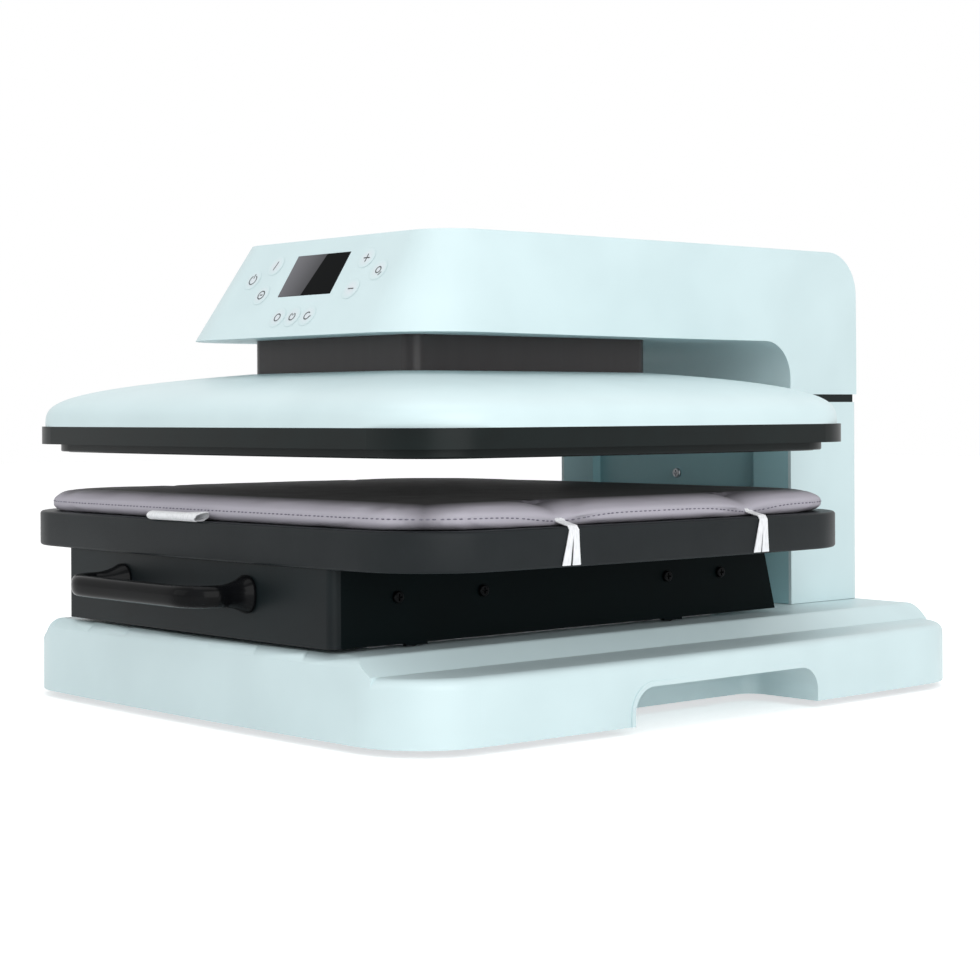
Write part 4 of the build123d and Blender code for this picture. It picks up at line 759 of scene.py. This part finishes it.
def tie_piece(surface):
    """Elastic ties: two strands at each place, from the pad's seam round the table's edge."""
    low, high = box("table_tray")
    foot = box("press_pad")[0][2]
    middle = (low[1] + high[1]) / 2
    thickness = 0.8 * MM
    strands = []
    for side in (1, -1):
        for place in TIE_PLACES:
            # each strand's place along the table at the pad and at the table's foot, in mm
            for begin, end in ((3.0, 3.0), (-0.4, -4.6)):
                y = middle + place + begin * MM
                angle = math.atan2(y - middle, side * high[0])
                seam, _ = side_point(surface, angle, foot + 3.2 * MM)
                drop = middle + place + end * MM
                edge = table_edge(drop)
                out = thickness * 0.75
                points = [
                    Vector((seam.x - side * 1.2 * MM, y, foot + 4.2 * MM)),
                    Vector((seam.x + side * out, y, foot + 2.2 * MM)),
                    Vector((side * (edge - 1.0 * MM), y, high[2] + out)),
                    Vector((side * (edge + out), y, high[2] - 1.6 * MM)),
                    Vector((side * (edge + out), (y + drop) / 2, (low[2] + high[2]) / 2)),
                    Vector((side * (edge + out), drop, low[2] + 1.0 * MM)),
                    Vector((side * (edge - 1.5 * MM), drop, low[2] - out)),
                    Vector((side * (edge - 14 * MM), drop, low[2] - out)),
                    Vector((side * (edge - 28 * MM), drop, low[2] - out)),
                ]
                widths = [3.6 * MM] * 3 + [3.8 * MM, 4.4 * MM] + [4.8 * MM] * 4
                strands.append(strip_piece(points, widths, thickness))
    return join_all(strands)


def tag_piece():
    """Ribbon tag at the pad's front: a flattened loop, open at its right end."""
    low, high = box("pad_tag")
    shift = -9 * MM             # towards the left of the pad's middle
    length = high[0] - low[0]
    half_height, half_depth = 2.4 * MM, 4.6 * MM
    middle = 2.0 * MM           # height of the loop's middle above its foot
    slanted = 16 * MM           # length of the open end that is cut on the slant
    clear_selection()
    bpy.ops.mesh.primitive_cylinder_add(vertices=28, radius=1, depth=length,
                                        end_fill_type="NOTHING",
                                        location=(shift, high[1] - 3.6 * MM, low[2] + middle),
                                        rotation=(0, math.pi / 2, 0))
    piece = bpy.context.object
    piece.scale = (half_height, half_depth, 1)
    bpy.ops.object.transform_apply(location=True, rotation=True, scale=True)
    bpy.ops.object.mode_set(mode="EDIT")
    pick("edges", lambda edge: edge.calc_length() > length / 2)
    bpy.ops.mesh.subdivide(number_cuts=14)
    bpy.ops.object.mode_set(mode="OBJECT")
    end = shift + length / 2
    for vertex in piece.data.vertices:
        near_end = max(0, 1 - (end - vertex.co.x) / slanted)
        above = vertex.co.z - low[2]
        vertex.co.x += (above - middle) * 1.6 * near_end
        vertex.co.z += 0.9 * MM * near_end * (above > middle)
        vertex.co.z = max(vertex.co.z, low[2] - 0.2 * MM)
    apply_modifier(piece, "SOLIDIFY", thickness=0.7 * MM, offset=0)
    return piece


def pull_piece():
    """Drawer pull: a bar on two legs that flare into oval feet, swept ring by ring."""
    low, high = box("drawer_handle")
    middle = (low[0] + high[0]) / 2
    level = (low[2] + high[2]) / 2
    half = (high[0] - low[0]) / 2 - PULL_BAR[1] / 2
    bar_y = low[1] + PULL_BAR[1] / 2
    face_y = high[1] - 0.2 * MM
    reach = face_y - bar_y
    bend = 20 * MM
    stations = []               # place, direction, height and width of each ring
    for share, flare in ((0.0, 1.0), (0.03, 0.97), (0.08, 0.78), (0.16, 0.5), (0.26, 0.24),
                         (0.38, 0.08), (0.46, 0.0)):
        x = -half + PULL_LEAN * (1 - share)
        y = face_y - share * reach
        stations.append((x, y, math.pi * 1.5, flare))
    for turn in range(1, 8):
        turned = turn * math.pi / 16
        stations.append((-half + bend - bend * math.cos(turned),
                         bar_y + bend - bend * math.sin(turned), math.pi * 1.5 + turned, 0.0))
    stations += [(-half + bend + turn * (half - bend) / 4, bar_y, 0.0, 0.0) for turn in range(0, 5)]
    stations += [(-x, y, -direction, flare) for x, y, direction, flare in reversed(stations[:-1])]
    clear_selection()
    bpy.ops.mesh.primitive_circle_add(vertices=24, radius=1, fill_type="NGON")
    piece = bpy.context.object
    bpy.ops.object.mode_set(mode="EDIT")
    for number, (x, y, direction, flare) in enumerate(stations):
        if number:
            bpy.ops.mesh.extrude_region_move(TRANSFORM_OT_translate={"value": (0, 0, 0)})
        work = bmesh.from_edit_mesh(piece.data)
        ring = [vertex for vertex in work.verts if vertex.select]
        tall = (PULL_BAR[0] + flare * (PULL_FOOT[0] - PULL_BAR[0])) / 2
        wide = (PULL_BAR[1] + flare * (PULL_FOOT[1] - PULL_BAR[1])) / 2
        if number == 0:
            order = {vertex.index: math.atan2(vertex.co.y, vertex.co.x) for vertex in ring}
            keys = [order[vertex.index] for vertex in ring]
        else:
            keys = [angle_of(vertex, previous) for vertex in ring]
        sideways = Vector((-math.sin(direction), math.cos(direction), 0))
        centre = Vector((middle + x, y, level))
        previous = []
        for vertex, key in zip(ring, keys):
            across = math.copysign(abs(math.cos(key)) ** 0.8, math.cos(key)) * wide
            up = math.copysign(abs(math.sin(key)) ** 0.8, math.sin(key)) * tall
            vertex.co = centre + sideways * across + Vector((0, 0, up))
            previous.append((vertex.co.copy(), key))
        bmesh.update_edit_mesh(piece.data)
    bpy.ops.mesh.select_all(action="SELECT")
    bpy.ops.mesh.normals_make_consistent(inside=False)
    bpy.ops.object.mode_set(mode="OBJECT")
    apply_modifier(piece, "SUBSURF", levels=1, render_levels=1)
    return piece


def angle_of(vertex, previous):
    """Angle on its ring that a vertex had before it was extruded."""
    return min(previous, key=lambda kept: (kept[0] - vertex.co).length)[1]


def panel_matrix(across, up, proud):
    """Place on the head's slanted panel, turned to lie in it."""
    low, _ = box("head_shell")
    rise, run = PANEL_RISE
    length = math.hypot(rise, run)
    climb = Vector((0, run, rise)) / length
    out = Vector((0, -rise, run)) / length
    foot = Vector((0, low[1], box("head_underside")[0][2]))
    place = foot + Vector((across, 0, 0)) + climb * up + out * proud
    turn = Matrix((Vector((1, 0, 0)), climb, out)).transposed().to_4x4()
    return Matrix.Translation(place) @ turn


def spot_piece():
    """Pale spots of the touch keys: thin discs on the panel's film."""
    radius = 7.4 * MM
    discs = []
    for across, up in KEY_PLACES:
        clear_selection()
        bpy.ops.mesh.primitive_circle_add(vertices=40, radius=radius, fill_type="NGON",
                                          calc_uvs=True)
        disc = bpy.context.object
        bpy.ops.object.mode_set(mode="EDIT")
        bpy.ops.mesh.select_all(action="SELECT")
        extrude((0, 0, 0.02 * MM), (0.97, 0.97, 1), (0, 0, 0))
        bpy.ops.object.mode_set(mode="OBJECT")
        spread = disc.data.uv_layers.active.data
        for loop in disc.data.loops:
            point = disc.data.vertices[loop.vertex_index].co
            spread[loop.index].uv = (0.5 + point.x / radius / 2, 0.5 + point.y / radius / 2)
        disc.data.transform(panel_matrix(across, up, 0.17 * MM))
        discs.append(disc)
    return join_all(discs)


def mark_ring(radius, width, gap=0.0, gap_at=90.0):
    """Flat ring of ink, with a gap of so many degrees where one is given."""
    clear_selection()
    bpy.ops.mesh.primitive_circle_add(vertices=48, radius=radius)
    ring = bpy.context.object
    bpy.ops.object.mode_set(mode="EDIT")
    bpy.ops.mesh.select_mode(type="EDGE")
    bpy.ops.mesh.select_all(action="SELECT")
    extrude((0, 0, 0), ((radius - width) / radius, (radius - width) / radius, 1), (0, 0, 0))
    if gap:
        opening = math.radians(gap) / 2
        at = math.radians(gap_at)

        def in_gap(face):
            middle = face.calc_center_median()
            apart = math.atan2(middle.y, middle.x) - at
            return abs(math.atan2(math.sin(apart), math.cos(apart))) < opening

        pick("faces", in_gap)
        bpy.ops.mesh.delete(type="FACE")
    bpy.ops.object.mode_set(mode="OBJECT")
    return ring


def mark_bar(length, width, angle=0.0, x=0.0, y=0.0):
    """Flat stroke of ink with bevelled ends."""
    clear_selection()
    bpy.ops.mesh.primitive_plane_add(size=1)
    bar = bpy.context.object
    bar.scale = (length, width, 1)
    bpy.ops.object.transform_apply(location=False, rotation=False, scale=True)
    bpy.ops.object.mode_set(mode="EDIT")
    bpy.ops.mesh.select_all(action="SELECT")
    bpy.ops.mesh.bevel(offset=width * 0.4, segments=3, affect="VERTICES")
    bpy.ops.object.mode_set(mode="OBJECT")
    bar.data.transform(Matrix.Translation((x, y, 0)) @ Matrix.Rotation(math.radians(angle), 4, "Z"))
    return bar


def marks_piece():
    """Printed signs of the keys: strokes and rings of ink, a little above their spots."""
    line = 0.8 * MM
    ring = 3.0 * MM
    signs = (
        lambda: [mark_bar(6.0 * MM, line), mark_bar(6.0 * MM, line, 90)],
        lambda: [mark_ring(2.6 * MM, line), mark_bar(3.2 * MM, line, 50, 2.9 * MM, -2.9 * MM)],
        lambda: [mark_bar(5.6 * MM, line)],
        lambda: [mark_bar(7.0 * MM, line, 75)],
        lambda: [mark_ring(3.8 * MM, line, 60), mark_bar(3.6 * MM, line, 90, 0, 2.9 * MM)],
        lambda: [mark_ring(3.4 * MM, line), mark_bar(3.0 * MM, line)],
        lambda: [mark_ring(ring, line)],
        lambda: [mark_ring(ring, line, 44, 90), mark_bar(1.4 * MM, line, 90, 0, 1.4 * MM)],
        lambda: [mark_ring(ring, line, 70, 20), mark_bar(2.2 * MM, line, 30, 2.8 * MM, -0.6 * MM)],
    )
    parts = []
    for (across, up), sign in zip(KEY_PLACES, signs):
        for part in sign():
            part.data.transform(panel_matrix(across, up, 0.3 * MM))
            parts.append(part)
    return join_all(parts)


def seen_by(tree, *rays):
    """1 for the given kinds of ray, such as camera rays, and 0 for the others."""
    path = add_node(tree, "ShaderNodeLightPath")
    seen = path.outputs[rays[0]]
    for ray in rays[1:]:
        either = add_node(tree, "ShaderNodeMath", {0: seen, 1: path.outputs[ray]},
                          operation="MAXIMUM")
        seen = either.outputs["Value"]
    return seen


class PRESS_OT_stage(bpy.types.Operator):
    """Puts up the floor, the light and the camera"""

    bl_idname = "press.stage"
    bl_label = "Stage"

    def execute(self, context):
        scene = context.scene
        scene.view_settings.view_transform = "Standard"
        clear_selection()
        bpy.ops.mesh.primitive_plane_add(size=12, location=(0, 0, -0.4 * MM))
        floor = context.object
        floor.name = "floor"
        material, tree, shader = new_material("pale_floor", Roughness=0.9)
        shader.inputs["Base Color"].default_value = to_linear("#F4F5F5")
        floor_glow = 0.45
        glow = add_node(tree, "ShaderNodeMath",
                        {0: seen_by(tree, "Is Camera Ray", "Is Glossy Ray"), 1: floor_glow},
                        operation="MULTIPLY")
        shader.inputs["Emission Color"].default_value = (1, 1, 1, 1)
        tree.links.new(glow.outputs[0], shader.inputs["Emission Strength"])
        floor.data.materials.append(material)

        world = bpy.data.worlds.new("room")
        scene.world = world
        world.use_nodes = True
        tree = world.node_tree
        seen = seen_by(tree, "Is Camera Ray", "Is Glossy Ray", "Is Transmission Ray")
        level = add_node(tree, "ShaderNodeMapRange",
                         {"Value": seen, "To Min": looks().light_level, "To Max": 1.0})
        back = tree.nodes["Background"]
        back.inputs["Color"].default_value = (1, 1, 1, 1)
        tree.links.new(level.outputs["Result"], back.inputs["Strength"])

        lamps = (
            ("key_lamp", (1.9, -0.7, 0.6), 1.7, 21.0),
            ("fill_lamp", (-0.6, -2.0, 0.9), 1.4, 5.0),
            ("top_lamp", (0.2, -0.2, 1.9), 1.5, 8.0),
        )
        aim_point = Vector((0, 0, 150 * MM))
        for name, place, size, power in lamps:
            data = bpy.data.lights.new(name, "AREA")
            data.size = size
            data.energy = power
            lamp = bpy.data.objects.new(name, data)
            lamp.location = place
            aim = aim_point - Vector(place)
            lamp.rotation_euler = aim.to_track_quat("-Z", "Y").to_euler()
            scene.collection.objects.link(lamp)

        data = bpy.data.cameras.new("photo_camera")
        data.sensor_width = 36
        data.lens = 79.09
        data.shift_y = -0.0802
        data.clip_start = 0.05
        camera = bpy.data.objects.new("photo_camera", data)
        azimuth = math.radians(48.45)
        roll = math.radians(-0.272)
        eye_x, eye_distance, eye_height = 1080.3 * MM, 714.6 * MM, 185.2 * MM
        eye_y = box("base_shell")[0][1] - eye_distance
        camera.matrix_world = (Matrix.Translation((eye_x, eye_y, eye_height))
                               @ Matrix.Rotation(azimuth, 4, "Z")
                               @ Matrix.Rotation(math.pi / 2, 4, "X")
                               @ Matrix.Rotation(roll, 4, "Z"))
        scene.collection.objects.link(camera)
        scene.camera = camera
        return {"FINISHED"}


class PRESS_OT_finishes(bpy.types.Operator):
    """Gives every CAD node its finish"""

    bl_idname = "press.finishes"
    bl_label = "Finishes"

    def execute(self, context):
        look = looks()
        dress(moulded_abs("moulded_abs", look.shell_colour), "base_shell", "head_shell",
              "head_underside", "column_rear_cover", "lid_cover", "touch_keys")
        # painted shade: a darker teal copy of the shell's plastic on the column's front
        dress(moulded_abs("tinted_abs", look.recess_shade_colour), "column_front_cover")
        dress(black_abs(), "platen_frame", "seam_band")
        dress(dark_sleeve(), "neck_sleeve")
        dress(powder_coat("table_paint", look.table_colour, 0.36, 0.5, gloss=0.12), "table_tray")
        # painted shade: the sides are darker than the front, which catches the light
        dress(powder_coat("drawer_paint", look.drawer_side_shade_colour, 0.4, 0.52, gloss=0.03),
              "drawer_shell")
        dress(powder_coat("front_paint", look.front_colour, 0.36, 0.48, gloss=0.12),
              "drawer_front")
        dress(glossy_black(), "drawer_handle")
        dress(rubber(), "rubber_feet", "roller_front_left", "roller_front_right",
              "roller_rear_left", "roller_rear_right")
        dress(metal("zinc_plate", "#A9ACAF", "#C9CCCF", 0.28, 0.42, 5 * MM), "base_pan",
              "chassis_plate", "column_frame", "arm_beam", "rail_brackets", "carriage_plate",
              "backing_plate", "plate_posts", "push_tube", "thermostat", "screw_bearing",
              "cover_screws")
        dress(metal("drawn_steel", "#9EA1A4", "#C4C7CA", 0.2, 0.34, 1.5 * MM, (1, 0.04, 1)),
              "outer_rail_left", "outer_rail_right", "middle_rail_left", "middle_rail_right",
              "inner_rail_left", "inner_rail_right", "lead_screw", "guide_rods", "roller_pins")
        dress(metal("black_oxide", "#0D0E0F", "#191A1B", 0.4, 0.55, 2 * MM), "rail_screws",
              "handle_screws")
        dress(nonstick_coat(), "heating_plate")
        dress(metal("heated_sheath", "#4A443E", "#6B625A", 0.4, 0.55, 4 * MM), "heating_element")
        dress(felt(), "insulation_sheet")
        dress(metal("turned_brass", "#B8924A", "#D2B06A", 0.22, 0.36, 0.8 * MM, (1, 1, 0.1)),
              "lift_nut", "guide_bushings", "motor_pinion")
        dress(acetal(), "screw_gear")
        dress(powder_coat("motor_paint", "#3E4042", 0.4, 0.55), "drive_motor")
        dress(display_film(), "display_glass")
        dress(circuit_board(), "control_board", "power_board", "display_module")
        dress(powder_coat("black_nylon", "#151617", 0.38, 0.52, 0.5), "power_inlet",
              "switch_housing", "power_rocker")
        return {"FINISHED"}


class PRESS_OT_lid(bpy.types.Operator):
    """Models the crowned cover of the lid"""

    bl_idname = "press.lid"
    bl_label = "Lid cover"

    def execute(self, context):
        close_up(lid_piece(), "lid_crown", bpy.data.materials["moulded_abs"], "lid", "shell",
                 "lid_cover")
        return {"FINISHED"}


class PRESS_OT_table(bpy.types.Operator):
    """Models the tray of the pull-out table"""

    bl_idname = "press.table"
    bl_label = "Table"

    def execute(self, context):
        close_up(table_piece(), "table_rim", bpy.data.materials["table_paint"], "drawer", "table",
                 "table_tray")
        return {"FINISHED"}


class PRESS_OT_pad(bpy.types.Operator):
    """Models the pad with its seam, ties and tag"""

    bl_idname = "press.pad"
    bl_label = "Pad"

    def execute(self, context):
        pad = close_up(pad_piece(), "press_cushion", pad_cloth(), "drawer", "pad_cloth",
                       "press_pad", smooth=60)
        surface = pad_surface(pad)
        close_up(stitch_piece(surface), "pad_stitching", sewing_thread(), "drawer", "pad_cloth")
        tape = white_tape()
        close_up(tie_piece(surface), "elastic_ties", tape, "drawer", "tape", "pad_ties")
        close_up(tag_piece(), "ribbon_tag", tape, "drawer", "tape", "pad_tag", smooth=60)
        return {"FINISHED"}


class PRESS_OT_pull(bpy.types.Operator):
    """Models the drawer's glossy pull"""

    bl_idname = "press.pull"
    bl_label = "Pull"

    def execute(self, context):
        close_up(pull_piece(), "drawer_pull", bpy.data.materials["glossy_black"], "drawer",
                 "handle", "drawer_handle", smooth=60)
        return {"FINISHED"}


class PRESS_OT_panel(bpy.types.Operator):
    """Prints the spots and signs of the touch panel"""

    bl_idname = "press.panel"
    bl_label = "Touch panel"

    def execute(self, context):
        close_up(spot_piece(), "key_spots", key_spot(), "base", "keys")
        close_up(marks_piece(), "panel_marks", printed_mark(), "base", "black_plastic")
        return {"FINISHED"}


class PRESS_PT_panel(bpy.types.Panel):
    """Lists the pieces of the press"""

    bl_idname = "PRESS_PT_panel"
    bl_label = "Heat press"
    bl_space_type = "VIEW_3D"
    bl_region_type = "UI"
    bl_category = "Heat press"

    def draw(self, context):
        for operator in OPERATORS:
            self.layout.operator(operator.bl_idname)


OPERATORS = (PRESS_OT_stage, PRESS_OT_finishes, PRESS_OT_lid, PRESS_OT_table, PRESS_OT_pad,
             PRESS_OT_pull, PRESS_OT_panel)
CLASSES = (PressLooks, *OPERATORS, PRESS_PT_panel)


def register():
    """Adds the classes and the settings."""
    for made in CLASSES:
        bpy.utils.register_class(made)
    bpy.types.Scene.press_looks = PointerProperty(type=PressLooks)


def unregister():
    """Takes the settings and the classes away again."""
    del bpy.types.Scene.press_looks
    for made in reversed(CLASSES):
        bpy.utils.unregister_class(made)


def main():
    """Builds the press."""
    register()
    for operator in OPERATORS:
        group, name = operator.bl_idname.split(".")
        getattr(getattr(bpy.ops, group), name)()


if __name__ == "__main__":
    main()
